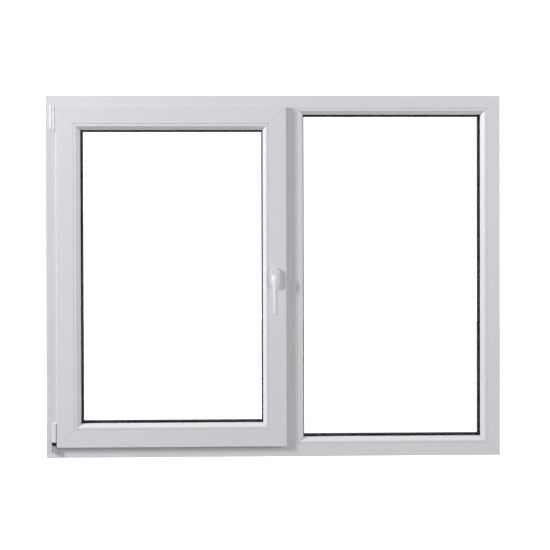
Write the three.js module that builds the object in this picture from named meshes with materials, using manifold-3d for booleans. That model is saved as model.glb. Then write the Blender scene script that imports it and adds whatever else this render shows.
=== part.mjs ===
// Two-light window in white plastic profiles: a tilt-and-turn sash on the left, a fixed light on the right.
// Millimetres. +X to the right seen from the room, +Y outwards, +Z up.
// The origin is the middle of the frame's underside, half way through its depth.
import * as THREE from "three";
import { mergeVertices } from "three/addons/utils/BufferGeometryUtils.js";
import Module from "manifold-3d";

const wasm = await Module();
wasm.setup();

// ---------- driving dimensions ----------

const WINDOW_WIDTH = 1500;
const WINDOW_HEIGHT = 1193;
const MULLION_X = 56; // centre of the mullion

const CLEARANCE = 0.3; // between pieces that touch
const WELD_GAP = 0.2; // hairline at each mitre
const WALL = 3; // wall of every plastic profile
const CHAMBER_CLEARANCE = 1; // round a steel tube in its chamber
const STEEL_WALL = 2;

const FRAME_DEPTH = 70;
const FRAME_FACE = 42; // height of the frame profile that shows round the rebate
const FRAME_LIP = 22; // the outer lip stands this much higher
const LIP_THICKNESS = 15;
const INNER_CHAMBER = 10;
const WALL_GROOVE = 4; // keying grooves in the face that meets the wall
const WALL_GROOVE_DEPTH = 2;
const WALL_GROOVE_Y = 20;

const OVERLAP = 6; // the sash covers the frame's edge by this much
const AIR_GAP = 12; // between the sash body and the rebate floor
const SASH_PROUD = 15; // the sash stands this far in front of the frame
const SASH_GAP = 3; // between the sash's overlap and the frame's face
const SASH_DEPTH = 66;
const SASH_FACE = 58; // from the sash's outer edge to its glazing rebate
const SASH_LIP = 22;
const SASH_LIP_THICKNESS = 14;

const PANE = 4;
const SPACER_WIDTH = 16;
const SPACER_HEIGHT = 7;
const GLASS_EDGE_GAP = 5; // between the glass edge and the rebate floor
const GASKET = 3;
const GASKET_HEIGHT = 9;
const GASKET_SHOWS = 2.5; // the black lip stands past the bead
const BEAD_HEIGHT = 19.5;
const BEAD_FLAT = 8.5; // flat part of the bead, before its bevel
const BEAD_DROP = 11; // depth of the bevel

const GROOVE_WIDTH = 18; // hardware groove in the sash's edge
const GROOVE_DEPTH = 3;
const ROD_GROOVE_WIDTH = 12;
const ROD_GROOVE_DEPTH = 8;
const GROOVE_Y = -22; // middle of the groove

const HINGE_INSET = 5.5; // hinge axis to the sash's edge
const HINGE_PROUD = 9; // hinge axis to the frame's face
const TILT_HEIGHT = 12; // tilt axis above the sash's lower edge
const PIN_RADIUS = 2.2;
const BARREL_RADIUS = 3.9;
const CAP_RADIUS = 5.2;
const HINGE_PLATE = 1.4;
const STAY_LENGTH = 350; // from the hinge axis to the stay arm's guide pin
const STAY_BAR = 14;
const STAY_THICKNESS = 3;
const BEARING_HEIGHT = 62;
const CORNER_HINGE_HEIGHT = 71;

const HANDLE_HEIGHT = 593;
const BACKSET = 18; // handle axis to the faceplate
const LEVER_LENGTH = 131; // from the top of its head to its tip
const LEVER_STANDOFF = 39; // free space behind the grip
const SPINDLE = 7;
const SPINDLE_HUB = 5.25; // radius of the hole that the spindle turns in
const ROD_TRAVEL = 36; // of the drive rods over half a turn of the handle
const CAM_FROM_END = 217; // from the sash's upper or lower edge to the nearest cam
const CAM_RADIUS = 4;
const CAM_HEIGHT = 4.5;
const ROUND_SIDES = 20;

// ---------- places that follow from them ----------

const rectangle = (x0, x1, z0, z1) => ({ x0, x1, z0, z1 });
const inset = (r, d) => rectangle(r.x0 + d, r.x1 - d, r.z0 + d, r.z1 - d);

const FRAME_FRONT = -FRAME_DEPTH / 2;
const FRAME_BACK = FRAME_DEPTH / 2;
const FRAME_LIP_Y = FRAME_BACK - LIP_THICKNESS;
const SASH_FRONT = FRAME_FRONT - SASH_PROUD;
const SASH_BACK = SASH_FRONT + SASH_DEPTH;
const SASH_LIP_Y = SASH_BACK - SASH_LIP_THICKNESS;
const FLANGE_BACK = FRAME_FRONT - SASH_GAP;
const SASH_BODY = OVERLAP + AIR_GAP; // from the sash's outer edge to its body

const frameRect = rectangle(-WINDOW_WIDTH / 2, WINDOW_WIDTH / 2, 0, WINDOW_HEIGHT);
const clearRect = inset(frameRect, FRAME_FACE);
const sashOpening = { ...clearRect, x1: MULLION_X - FRAME_FACE / 2 };
const fixedOpening = { ...clearRect, x0: MULLION_X + FRAME_FACE / 2 };
const sashRect = inset(sashOpening, -OVERLAP);

const HINGE_X = sashRect.x0 - HINGE_INSET;
const HINGE_Y = FRAME_FRONT - HINGE_PROUD;
const TILT_Z = sashRect.z0 + TILT_HEIGHT;
const PLATE_BACK = FRAME_FRONT - CLEARANCE;
const PLATE_FRONT = PLATE_BACK - HINGE_PLATE;
const HANDLE_DEPTH_IN_SASH = SASH_BODY + BACKSET;
const HANDLE_X = sashRect.x1 - HANDLE_DEPTH_IN_SASH;

// ---------- materials ----------

const finish = (color, roughness, metalness = 0) =>
  new THREE.MeshStandardMaterial({ color, roughness, metalness });

const plastic = () => finish(0xe6e5ea, 0.35);
const coverPlastic = () => finish(0xefeff2, 0.4);
const rubber = () => finish(0x17181a, 0.8);
const galvanised = () => finish(0x9aa0a6, 0.45, 0.9);
const zinc = () => finish(0xb9bcc0, 0.35, 0.9);
const lacquered = () => finish(0xe4e4ea, 0.3);
const spacerBlack = () => finish(0x202124, 0.6);
const glass = () => {
  const material = finish(0xf4f8f8, 0.02);
  material.transparent = true;
  material.opacity = 0.3;
  return material;
};

// ---------- shapes ----------

const polygon = (points) => new THREE.Shape(points.map(([x, y]) => new THREE.Vector2(x, y)));

function rectangleOutline(x0, x1, y0, y1, kind = THREE.Shape) {
  const outline = new kind();
  outline.moveTo(x0, y0);
  outline.lineTo(x1, y0);
  outline.lineTo(x1, y1);
  outline.lineTo(x0, y1);
  outline.closePath();
  return outline;
}

function box(low, high) {
  const size = high.map((value, i) => value - low[i]);
  const geometry = new THREE.BoxGeometry(...size);
  geometry.translate(...low.map((value, i) => value + size[i] / 2));
  return geometry;
}

// A round bar that stands upright at (x, y).
function post(x, y, radius, z0, z1) {
  const geometry = new THREE.CylinderGeometry(radius, radius, z1 - z0, ROUND_SIDES);
  geometry.rotateX(Math.PI / 2);
  geometry.translate(x, y, (z0 + z1) / 2);
  return geometry;
}

// An outline drawn in X and Z, given a thickness from y0 to y1.
function standing(outline, y0, y1) {
  const geometry = new THREE.ExtrudeGeometry(outline, {
    depth: y1 - y0,
    bevelEnabled: false,
    curveSegments: ROUND_SIDES / 2,
  });
  geometry.rotateX(Math.PI / 2);
  geometry.translate(0, y1, 0);
  return geometry;
}

// An outline drawn in X and Y, given a height from z0 to z1.
function lying(outline, z0, z1) {
  const geometry = new THREE.ExtrudeGeometry(outline, { depth: z1 - z0, bevelEnabled: false });
  geometry.translate(0, 0, z0);
  return geometry;
}

// A flat ring between two nested rectangles.
function ring(outer, thickness, y0, y1) {
  const hole = inset(outer, thickness);
  const outline = rectangleOutline(outer.x0, outer.x1, outer.z0, outer.z1);
  outline.holes = [rectangleOutline(hole.x0, hole.x1, hole.z0, hole.z1, THREE.Path)];
  return standing(outline, y0, y1);
}

// ---------- solids ----------

function solidOf(geometry) {
  const bare = new THREE.BufferGeometry();
  const loose = geometry.index ? geometry.toNonIndexed() : geometry;
  bare.setAttribute("position", loose.getAttribute("position"));
  const merged = mergeVertices(bare, 1e-4);
  return new wasm.Manifold(
    new wasm.Mesh({
      numProp: 3,
      vertProperties: merged.attributes.position.array,
      triVerts: new Uint32Array(merged.index.array),
    }),
  );
}

function geometryOf(solid) {
  const mesh = solid.getMesh();
  const geometry = new THREE.BufferGeometry();
  geometry.setAttribute("position", new THREE.BufferAttribute(mesh.vertProperties, 3));
  geometry.setIndex(new THREE.BufferAttribute(mesh.triVerts, 1));
  return geometry;
}

const join = (...pieces) =>
  geometryOf(pieces.map(solidOf).reduce((sum, piece) => sum.add(piece)));

const cut = (piece, ...tools) =>
  geometryOf(tools.map(solidOf).reduce((rest, tool) => rest.subtract(tool), solidOf(piece)));

function piece(name, geometry, material) {
  geometry.computeVertexNormals();
  const mesh = new THREE.Mesh(geometry, material);
  mesh.name = name;
  return mesh;
}

// ---------- lengths round a rectangle ----------

// Each side starts at one corner and runs to the next; turn is about Y.
const SIDES = {
  left: { turn: 0, x: "x0", z: "z0" },
  top: { turn: Math.PI / 2, x: "x0", z: "z1" },
  right: { turn: Math.PI, x: "x1", z: "z1" },
  bottom: { turn: -Math.PI / 2, x: "x1", z: "z0" },
};

const sideLength = (r, side) =>
  side === "left" || side === "right" ? r.z1 - r.z0 : r.x1 - r.x0;

function placeOnSide(mesh, r, side) {
  const place = SIDES[side];
  mesh.position.set(r[place.x], 0, r[place.z]);
  mesh.rotation.y = place.turn;
  return mesh;
}

// A profile of a given length: an outline with its hollow chambers, each [u0, u1, y0, y1].
function profileBar({ outline, chambers = [] }, length) {
  const bar = lying(polygon(outline), 0, length);
  const cores = chambers.map(([u0, u1, y0, y1]) => box([u0, y0, -1], [u1, y1, length + 1]));
  return cut(bar, ...cores);
}

// A profile drawn as (distance from the edge, depth), with both ends cut at 45 degrees.
function mitred(profile, length) {
  const geometry = profileBar(profile, length);
  const position = geometry.getAttribute("position");
  for (let i = 0; i < position.count; i++) {
    const setBack = position.getX(i) + WELD_GAP;
    position.setZ(i, position.getZ(i) < length / 2 ? setBack : length - setBack);
  }
  return geometry;
}

// A square-cut steel tube that fills a chamber, with its ends set back from both corners.
function steelTube([u0, u1, y0, y1], length) {
  const outer = [
    u0 + CHAMBER_CLEARANCE,
    u1 - CHAMBER_CLEARANCE,
    y0 + CHAMBER_CLEARANCE,
    y1 - CHAMBER_CLEARANCE,
  ];
  const bore = outer.map((value, i) => value + (i % 2 ? -STEEL_WALL : STEEL_WALL));
  const section = rectangleOutline(...outer);
  section.holes = [rectangleOutline(...bore, THREE.Path)];
  const geometry = new THREE.ExtrudeGeometry(section, {
    depth: length - 2 * (u1 + CHAMBER_CLEARANCE),
    bevelEnabled: false,
  });
  geometry.translate(0, 0, u1 + CHAMBER_CLEARANCE);
  return geometry;
}

// ---------- frame ----------

const FRAME_INNER_CHAMBER_END = FRAME_FRONT + WALL + INNER_CHAMBER;
const FRAME_STEEL_Y0 = FRAME_INNER_CHAMBER_END + WALL;
const FRAME_STEEL_Y1 = FRAME_LIP_Y - WALL - INNER_CHAMBER + WALL;
const FRAME_STEEL_CHAMBER = [
  WALL + WALL_GROOVE_DEPTH,
  FRAME_FACE - WALL,
  FRAME_STEEL_Y0,
  FRAME_STEEL_Y1,
];

function frameSection() {
  const top = FRAME_FACE + FRAME_LIP;
  const grooves = [WALL_GROOVE_Y, -WALL_GROOVE_Y].flatMap((y) => [
    [0, y + WALL_GROOVE / 2],
    [WALL_GROOVE_DEPTH, y + WALL_GROOVE / 2],
    [WALL_GROOVE_DEPTH, y - WALL_GROOVE / 2],
    [0, y - WALL_GROOVE / 2],
  ]);
  const outline = [
    [0, FRAME_FRONT],
    [FRAME_FACE, FRAME_FRONT],
    [FRAME_FACE, FRAME_LIP_Y],
    [top, FRAME_LIP_Y],
    [top, FRAME_BACK],
    [0, FRAME_BACK],
    ...grooves,
  ];
  const u0 = WALL + WALL_GROOVE_DEPTH;
  const u1 = FRAME_FACE - WALL;
  const chambers = [
    [u0, u1, FRAME_FRONT + WALL, FRAME_INNER_CHAMBER_END],
    FRAME_STEEL_CHAMBER,
    [u0, u1, FRAME_STEEL_Y1 + WALL, FRAME_BACK - WALL],
    [u1 + 2 * WALL, top - WALL, FRAME_LIP_Y + WALL, FRAME_BACK - WALL],
  ];
  return { outline, chambers };
}

const FRAME_NAMES = {
  left: "frame_left_jamb",
  top: "frame_head",
  right: "frame_right_jamb",
  bottom: "frame_bottom_rail",
};

function frameLengths() {
  return Object.entries(FRAME_NAMES).flatMap(([side, name]) => {
    const length = sideLength(frameRect, side);
    return [
      piece(name, mitred(frameSection(), length), plastic()),
      piece(name + "_steel", steelTube(FRAME_STEEL_CHAMBER, length), galvanised()),
    ].map((mesh) => placeOnSide(mesh, frameRect, side));
  });
}

// The mullion's T section is drawn about its own middle; its outer lips stop at the frame's.
function mullionPieces() {
  const half = FRAME_FACE / 2;
  const wide = half + FRAME_LIP;
  const outline = [
    [-half, FRAME_FRONT],
    [half, FRAME_FRONT],
    [half, FRAME_LIP_Y],
    [wide, FRAME_LIP_Y],
    [wide, FRAME_BACK],
    [-wide, FRAME_BACK],
    [-wide, FRAME_LIP_Y],
    [-half, FRAME_LIP_Y],
  ];
  const steelChamber = [WALL - half, half - WALL, FRAME_STEEL_Y0, FRAME_STEEL_Y1];
  const chambers = [
    [WALL - half, half - WALL, FRAME_FRONT + WALL, FRAME_INNER_CHAMBER_END],
    steelChamber,
    [WALL - wide, wide - WALL, FRAME_LIP_Y + WALL, FRAME_BACK - WALL],
  ];
  const z0 = clearRect.z0 + CLEARANCE;
  const z1 = clearRect.z1 - CLEARANCE;
  const cope = (from, to) =>
    box([-wide - 1, FRAME_LIP_Y - CLEARANCE, from], [wide + 1, FRAME_BACK + 1, to]);
  const lipEnd = FRAME_LIP + CLEARANCE;
  const bar = profileBar({ outline, chambers }, z1 - z0);
  bar.translate(0, 0, z0);
  const body = cut(
    bar,
    cope(z0 - 1, clearRect.z0 + lipEnd),
    cope(clearRect.z1 - lipEnd, z1 + 1),
  );
  const steel = steelTube(steelChamber, z1 - z0);
  steel.translate(0, 0, z0);
  const meshes = [piece("mullion", body, plastic()), piece("mullion_steel", steel, galvanised())];
  meshes.forEach((mesh) => mesh.position.set(MULLION_X, 0, 0));
  return meshes;
}

const SEAL_INSET = 4; // from the edge of the lip to the seal
const SEAL_HEIGHT = 4;

// The seal on the outer lip that the closed sash meets.
function stopSeal() {
  const lipEdge = inset(sashOpening, FRAME_LIP);
  const outer = inset(lipEdge, -SEAL_INSET - SEAL_HEIGHT);
  const geometry = ring(outer, SEAL_HEIGHT, SASH_BACK + CLEARANCE, FRAME_LIP_Y - CLEARANCE);
  return piece("frame_stop_seal", geometry, rubber());
}

const DRAIN_CAP = { width: 44, height: 14, thickness: 4, z: 26 };
const DRAIN_SPACING = 380; // each side of the middle

function drainCap(name, x) {
  const half = DRAIN_CAP.width / 2;
  const outline = new THREE.Shape();
  const round = DRAIN_CAP.height / 2;
  outline.absarc(half - round, 0, round, -Math.PI / 2, Math.PI / 2);
  outline.absarc(round - half, 0, round, Math.PI / 2, (3 * Math.PI) / 2);
  const y0 = FRAME_BACK + CLEARANCE;
  const mesh = piece(name, standing(outline, y0, y0 + DRAIN_CAP.thickness), coverPlastic());
  mesh.position.set(x, 0, DRAIN_CAP.z);
  return mesh;
}

// ---------- glazing of either light ----------

function beadSection(front, back) {
  const outline = [
    [CLEARANCE, front],
    [BEAD_FLAT, front],
    [BEAD_HEIGHT, front + BEAD_DROP],
    [BEAD_HEIGHT, back],
    [CLEARANCE, back],
  ];
  return { outline };
}

// The panes, spacer, gaskets and beads in a rebate, built inwards from the outer lip.
function glazing(prefix, rebate, lipHeight, lipY, front) {
  const outerPaneY = lipY - GASKET;
  const spacerY = outerPaneY - PANE;
  const innerPaneY = spacerY - SPACER_WIDTH;
  const innerGasketY = innerPaneY - PANE;
  const beadBack = innerGasketY - GASKET;
  const glassRect = inset(rebate, GLASS_EDGE_GAP);
  const pane = (name, y) =>
    piece(
      name,
      standing(
        rectangleOutline(glassRect.x0, glassRect.x1, glassRect.z0, glassRect.z1),
        y - PANE + CLEARANCE / 2,
        y - CLEARANCE / 2,
      ),
      glass(),
    );
  const gasket = (name, y, edge) =>
    piece(
      name,
      ring(inset(rebate, edge - GASKET_HEIGHT), GASKET_HEIGHT, y - GASKET + CLEARANCE, y - CLEARANCE),
      rubber(),
    );
  const spacer = ring(
    inset(glassRect, 1),
    SPACER_HEIGHT,
    innerPaneY + CLEARANCE / 2,
    spacerY - CLEARANCE / 2,
  );
  const beads = Object.keys(SIDES).map((side) => {
    const section = beadSection(front, beadBack);
    const bead = mitred(section, sideLength(rebate, side));
    return placeOnSide(piece(`${prefix}_bead_${side}`, bead, plastic()), rebate, side);
  });
  return [
    gasket(`${prefix}_outer_gasket`, lipY, lipHeight + GASKET_SHOWS),
    pane(`${prefix}_outer_pane`, outerPaneY),
    piece(`${prefix}_spacer`, spacer, spacerBlack()),
    pane(`${prefix}_inner_pane`, spacerY - SPACER_WIDTH),
    gasket(`${prefix}_inner_gasket`, innerGasketY, BEAD_HEIGHT + GASKET_SHOWS),
    ...beads,
  ];
}

// ---------- sash ----------

const GROOVE_FLOOR = SASH_BODY + GROOVE_DEPTH + ROD_GROOVE_DEPTH;
const SASH_INNER_CHAMBER_END = GROOVE_Y - GROOVE_WIDTH / 2 - 2 * WALL;
const SASH_STEEL_Y0 = SASH_INNER_CHAMBER_END + WALL;
const SASH_STEEL_CHAMBER = [
  GROOVE_FLOOR + WALL,
  SASH_FACE - WALL,
  SASH_STEEL_Y0,
  SASH_LIP_Y - WALL,
];

function sashSection() {
  const top = SASH_FACE + SASH_LIP;
  const halfGroove = GROOVE_WIDTH / 2;
  const halfRod = ROD_GROOVE_WIDTH / 2;
  const shoulder = SASH_BODY + GROOVE_DEPTH;
  const outline = [
    [0, SASH_FRONT],
    [SASH_FACE, SASH_FRONT],
    [SASH_FACE, SASH_LIP_Y],
    [top, SASH_LIP_Y],
    [top, SASH_BACK],
    [SASH_BODY, SASH_BACK],
    [SASH_BODY, GROOVE_Y + halfGroove],
    [shoulder, GROOVE_Y + halfGroove],
    [shoulder, GROOVE_Y + halfRod],
    [GROOVE_FLOOR, GROOVE_Y + halfRod],
    [GROOVE_FLOOR, GROOVE_Y - halfRod],
    [shoulder, GROOVE_Y - halfRod],
    [shoulder, GROOVE_Y - halfGroove],
    [SASH_BODY, GROOVE_Y - halfGroove],
    [SASH_BODY, FLANGE_BACK],
    [0, FLANGE_BACK],
  ];
  const v1 = SASH_FACE - WALL;
  const chambers = [
    [WALL, SASH_BODY - WALL, SASH_FRONT + WALL, FLANGE_BACK - WALL],
    [SASH_BODY + WALL, v1, SASH_FRONT + WALL, SASH_INNER_CHAMBER_END],
    SASH_STEEL_CHAMBER,
    [SASH_BODY + WALL, v1, SASH_LIP_Y, SASH_BACK - WALL],
    [v1 + WALL, top - WALL, SASH_LIP_Y + WALL, SASH_BACK - WALL],
  ];
  return { outline, chambers };
}

const SASH_NAMES = {
  left: "sash_hinge_stile",
  top: "sash_top_rail",
  right: "sash_lock_stile",
  bottom: "sash_bottom_rail",
};

const GEARBOX = { height: 120, width: 14, depth: 19, setBack: 7 };
const GEARBOX_MARGIN = 1.5;
const SPINDLE_HOLE = 7.5;

// The pocket for the gearbox and the hole for the spindle, in the lock stile's own frame.
function gearboxPocket() {
  const along = sashRect.z1 - HANDLE_HEIGHT;
  const halfHeight = GEARBOX.height / 2 + GEARBOX_MARGIN;
  const halfWidth = GEARBOX.width / 2 + GEARBOX_MARGIN;
  const floor = SASH_BODY + GEARBOX.setBack + GEARBOX.depth + GEARBOX_MARGIN;
  const pocket = box(
    [SASH_BODY - 1, GROOVE_Y - halfWidth, along - halfHeight],
    [floor, GROOVE_Y + halfWidth, along + halfHeight],
  );
  const hole = new THREE.CylinderGeometry(
    SPINDLE_HOLE,
    SPINDLE_HOLE,
    GROOVE_Y - SASH_FRONT + 1,
    ROUND_SIDES,
  );
  hole.translate(HANDLE_DEPTH_IN_SASH, (GROOVE_Y + SASH_FRONT - 1) / 2, along);
  return [pocket, hole];
}

function sashLengths() {
  return Object.entries(SASH_NAMES).flatMap(([side, name]) => {
    const length = sideLength(sashRect, side);
    const pocket = side === "right" ? gearboxPocket() : [];
    return [
      piece(name, cut(mitred(sashSection(), length), ...pocket), plastic()),
      piece(name + "_steel", cut(steelTube(SASH_STEEL_CHAMBER, length), ...pocket), galvanised()),
    ].map((mesh) => placeOnSide(mesh, sashRect, side));
  });
}

const OVERLAP_SEAL = { inset: 3, height: 3.4, base: 0.7, lip: 1.5 };
const HINGE_NOTCH = 2; // free height above and below a hinge plate

// The seal on the back of the overlap, thinned where the two hinge plates pass behind it.
function overlapSeal() {
  const y0 = FLANGE_BACK + CLEARANCE;
  const outer = inset(sashRect, OVERLAP_SEAL.inset);
  const notch = (z0, z1) =>
    box(
      [sashRect.x0, y0 + OVERLAP_SEAL.base, z0 - HINGE_NOTCH],
      [sashRect.x0 + SASH_BODY + 1, FRAME_FRONT, z1 + HINGE_NOTCH],
    );
  const geometry = cut(
    ring(outer, OVERLAP_SEAL.height, y0, y0 + OVERLAP_SEAL.lip),
    notch(cornerHingeZ0, cornerHingeZ1),
    notch(STAY_Z0, sashRect.z1),
  );
  return piece("sash_overlap_seal", geometry, rubber());
}

// ---------- hinges ----------

const STAY_Z0 = sashRect.z1 - SASH_BODY + AIR_GAP / 2 - STAY_THICKNESS / 2;
const STAY_EYE_HEIGHT = 13.5;
const BEARING_TOP = STAY_Z0 - 2 * CLEARANCE;
const BEARING_BOTTOM = BEARING_TOP - BEARING_HEIGHT;
const COVER_WALL = 1;
const SCREW_POST_X = -9.5; // beside the hinge axis
const SCREW_POST_RADIUS = 3.4;
const PIN_HEAD = 7;
const PIN_TIP = 2.4; // radius of the flat under the pin's head
const CORNER_HINGE_START = 5; // between the tilt axis and the plate's lower end
const cornerHingeZ0 = TILT_Z + CORNER_HINGE_START;
const cornerHingeZ1 = TILT_Z - CORNER_HINGE_START + CORNER_HINGE_HEIGHT;

// The two upright columns of the upper hinge, joined by a web, grown by a margin.
function bearingColumns(grow, z0, z1) {
  const web = box(
    [SCREW_POST_X, -COVER_WALL - grow, z0],
    [0, COVER_WALL + grow, z1],
  );
  return join(
    post(0, 0, BARREL_RADIUS + grow, z0, z1),
    post(SCREW_POST_X, 0, SCREW_POST_RADIUS + grow, z0, z1),
    web,
  );
}

// The upper hinge's frame side: a barrel and a screw post on a plate, about the hinge axis.
function stayBearing() {
  const plateZ0 = BEARING_BOTTOM + 2 * COVER_WALL;
  const plateZ1 = BEARING_TOP - 2 * COVER_WALL;
  const plateX = SCREW_POST_X - SCREW_POST_RADIUS;
  const plate = box(
    [plateX, PLATE_FRONT - HINGE_Y, plateZ0],
    [SCREW_POST_X + SCREW_POST_RADIUS, PLATE_BACK - HINGE_Y, plateZ1],
  );
  const foot = box(
    [plateX + COVER_WALL, 0, plateZ0],
    [SCREW_POST_X + SCREW_POST_RADIUS - COVER_WALL, PLATE_FRONT - HINGE_Y + 1, plateZ1],
  );
  const body = cut(
    join(bearingColumns(0, BEARING_BOTTOM, BEARING_TOP - COVER_WALL - CLEARANCE), foot, plate),
    post(0, 0, PIN_RADIUS + CLEARANCE, BEARING_BOTTOM - 1, BEARING_TOP + 1),
  );
  const cover = cut(
    bearingColumns(CLEARANCE + COVER_WALL, BEARING_BOTTOM, BEARING_TOP),
    bearingColumns(CLEARANCE, BEARING_BOTTOM - 1, BEARING_TOP - COVER_WALL),
    box(
      [plateX - 2, 0, BEARING_BOTTOM - 1],
      [SCREW_POST_X + SCREW_POST_RADIUS + CLEARANCE, HINGE_PROUD, BEARING_TOP - COVER_WALL],
    ),
    post(0, 0, PIN_RADIUS + CLEARANCE, BEARING_BOTTOM - 1, BEARING_TOP + 1),
  );
  return [
    piece("stay_bearing", body, zinc()),
    piece("stay_bearing_cover", cover, coverPlastic()),
  ];
}

// The upper hinge pin, pushed up through the bearing and the stay arm's eye, with a round head.
function stayPin() {
  const top = STAY_Z0 + STAY_EYE_HEIGHT;
  const headTop = BEARING_BOTTOM - CLEARANCE;
  const points = [
    [0, headTop - PIN_HEAD],
    [PIN_TIP, headTop - PIN_HEAD],
    [BARREL_RADIUS, headTop - PIN_HEAD / 2],
    [BARREL_RADIUS, headTop],
    [PIN_RADIUS, headTop],
    [PIN_RADIUS, top],
    [0, top],
  ];
  return piece("stay_pin", turned(points), zinc());
}

// A turned piece from its half outline of [radius, height] points.
function turned(points) {
  const geometry = new THREE.LatheGeometry(
    points.map(([radius, height]) => new THREE.Vector2(radius, height)),
    ROUND_SIDES,
  );
  geometry.rotateX(Math.PI / 2);
  return geometry;
}

const EYE_NECK = 4.5; // width of the neck between the barrel and the plate behind the overlap

// The plate that leaves a hinge barrel and runs behind the sash's overlap to its body.
function hingePlate(z0, z1) {
  const reach = HINGE_INSET + SASH_BODY - 2 * CLEARANCE;
  return join(
    box([0, BARREL_RADIUS / 2, z0], [EYE_NECK, PLATE_BACK - HINGE_Y, z1]),
    box([0, PLATE_FRONT - HINGE_Y, z0], [reach, PLATE_BACK - HINGE_Y, z1]),
  );
}

const GUIDE_PIN = { radius: 2.5, length: 10 };

// The stay arm about the hinge axis: its eye, its cranked plate, the flat bar and the guide pin.
function stayArm() {
  const z1 = STAY_Z0 + STAY_THICKNESS;
  const plateEnd = HINGE_INSET + SASH_BODY - 2 * CLEARANCE;
  const centre = GROOVE_Y - HINGE_Y;
  const bar = polygon([
    [plateEnd - STAY_BAR / 2, PLATE_FRONT - HINGE_Y],
    [plateEnd, PLATE_FRONT - HINGE_Y],
    [plateEnd + STAY_BAR, centre - STAY_BAR / 2],
    [STAY_LENGTH + STAY_BAR / 2, centre - STAY_BAR / 2],
    [STAY_LENGTH + STAY_BAR / 2, centre + STAY_BAR / 2],
    [plateEnd, centre + STAY_BAR / 2],
    [plateEnd - STAY_BAR / 2, centre],
  ]);
  const arm = join(
    post(0, 0, BARREL_RADIUS, STAY_Z0, STAY_Z0 + STAY_EYE_HEIGHT),
    hingePlate(STAY_Z0, STAY_Z0 + STAY_EYE_HEIGHT),
    lying(bar, STAY_Z0, z1),
    post(STAY_LENGTH, centre, GUIDE_PIN.radius, STAY_Z0 - GUIDE_PIN.length, z1),
  );
  const bore = post(0, 0, PIN_RADIUS + CLEARANCE, STAY_Z0 - 1, STAY_Z0 + STAY_EYE_HEIGHT + 1);
  return piece("stay_arm", cut(arm, bore), zinc());
}

const STAY_CAP_TOP = 5; // above the stay arm's eye

// The cover over the stay arm's eye, open below and towards the plate behind it.
function stayArmCap() {
  const eyeTop = STAY_Z0 + STAY_EYE_HEIGHT;
  const cap = cut(
    post(0, 0, CAP_RADIUS, STAY_Z0, eyeTop + STAY_CAP_TOP),
    post(0, 0, BARREL_RADIUS + CLEARANCE, STAY_Z0 - 1, eyeTop + CLEARANCE),
    box([-CLEARANCE, 0, STAY_Z0 - 1], [CAP_RADIUS + 1, HINGE_PROUD, eyeTop + CLEARANCE]),
  );
  return piece("stay_arm_cap", cap, coverPlastic());
}

const BALL_RADIUS = 4;
const SOCKET_RADIUS = BALL_RADIUS + 0.5;
const PIVOT = { collar: 4.8, collarHeight: 5.5, neck: 2.4, neckLength: 5 };
const BALL_STEPS = 8;

// The lower hinge pin: a shaft in the corner bearing, a collar, and the ball that the sash tilts on.
function cornerPivotPin() {
  const neckTop = TILT_Z - Math.sqrt(BALL_RADIUS ** 2 - PIVOT.neck ** 2);
  const collarTop = TILT_Z - BALL_RADIUS - PIVOT.neckLength;
  const collarBottom = collarTop - PIVOT.collarHeight;
  const start = Math.asin(PIVOT.neck / BALL_RADIUS) - Math.PI / 2;
  const ball = Array.from({ length: BALL_STEPS }, (_, i) => {
    const angle = start + ((i + 1) / (BALL_STEPS + 1)) * (Math.PI / 2 - start);
    return [BALL_RADIUS * Math.cos(angle), TILT_Z + BALL_RADIUS * Math.sin(angle)];
  });
  const points = [
    [0, collarBottom - CORNER_LUG],
    [PIN_RADIUS, collarBottom - CORNER_LUG],
    [PIN_RADIUS, collarBottom],
    [PIVOT.collar, collarBottom],
    [PIVOT.collar, collarTop],
    [PIVOT.neck, collarTop],
    [PIVOT.neck, neckTop],
    ...ball,
    [0, TILT_Z + BALL_RADIUS],
  ];
  return piece("corner_pivot_pin", turned(points), zinc());
}

const CORNER_LUG = 12;
const CORNER_PLATE_TOP = 4; // above the tilt axis
const CORNER_BEARING_WIDTH = 11.5;

// The lower hinge's frame side, about the hinge axis: a lug with a bore on a plate.
function cornerBearing() {
  const lugTop = TILT_Z - BALL_RADIUS - PIVOT.neckLength - PIVOT.collarHeight - CLEARANCE;
  const lugBottom = lugTop - CORNER_LUG;
  const back = PLATE_BACK - HINGE_Y;
  const body = join(
    post(0, 0, CAP_RADIUS, lugBottom, lugTop),
    box([-CORNER_BEARING_WIDTH, -BARREL_RADIUS, lugBottom], [0, back, lugTop]),
    box(
      [-CORNER_BEARING_WIDTH, PLATE_FRONT - HINGE_Y, lugBottom],
      [-SCREW_POST_RADIUS, back, TILT_Z + CORNER_PLATE_TOP],
    ),
  );
  const bore = post(0, 0, PIN_RADIUS + CLEARANCE, lugBottom - 1, lugTop + 1);
  return piece("corner_bearing", cut(body, bore), zinc());
}

const CORNER_BAND = 24; // depth of the band on the side of the sash

// The lower hinge's sash side: a barrel with the ball's socket, a plate and a band on the sash's edge.
function cornerHinge() {
  const socket = post(0, 0, SOCKET_RADIUS, TILT_Z - CAP_RADIUS - 1, TILT_Z + SOCKET_RADIUS);
  const sashSide = HINGE_INSET + SASH_BODY - CLEARANCE;
  const band = box(
    [sashSide - 2, PLATE_FRONT - HINGE_Y, cornerHingeZ0],
    [sashSide, PLATE_FRONT - HINGE_Y + CORNER_BAND, cornerHingeZ1],
  );
  const body = join(
    post(0, 0, CAP_RADIUS, TILT_Z - CORNER_HINGE_START, cornerHingeZ1),
    hingePlate(cornerHingeZ0, cornerHingeZ1),
    band,
  );
  return piece("corner_hinge", cut(body, socket), zinc());
}

const HINGE_COVER = { radius: 8.2, start: 7, top: 3 };

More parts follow.
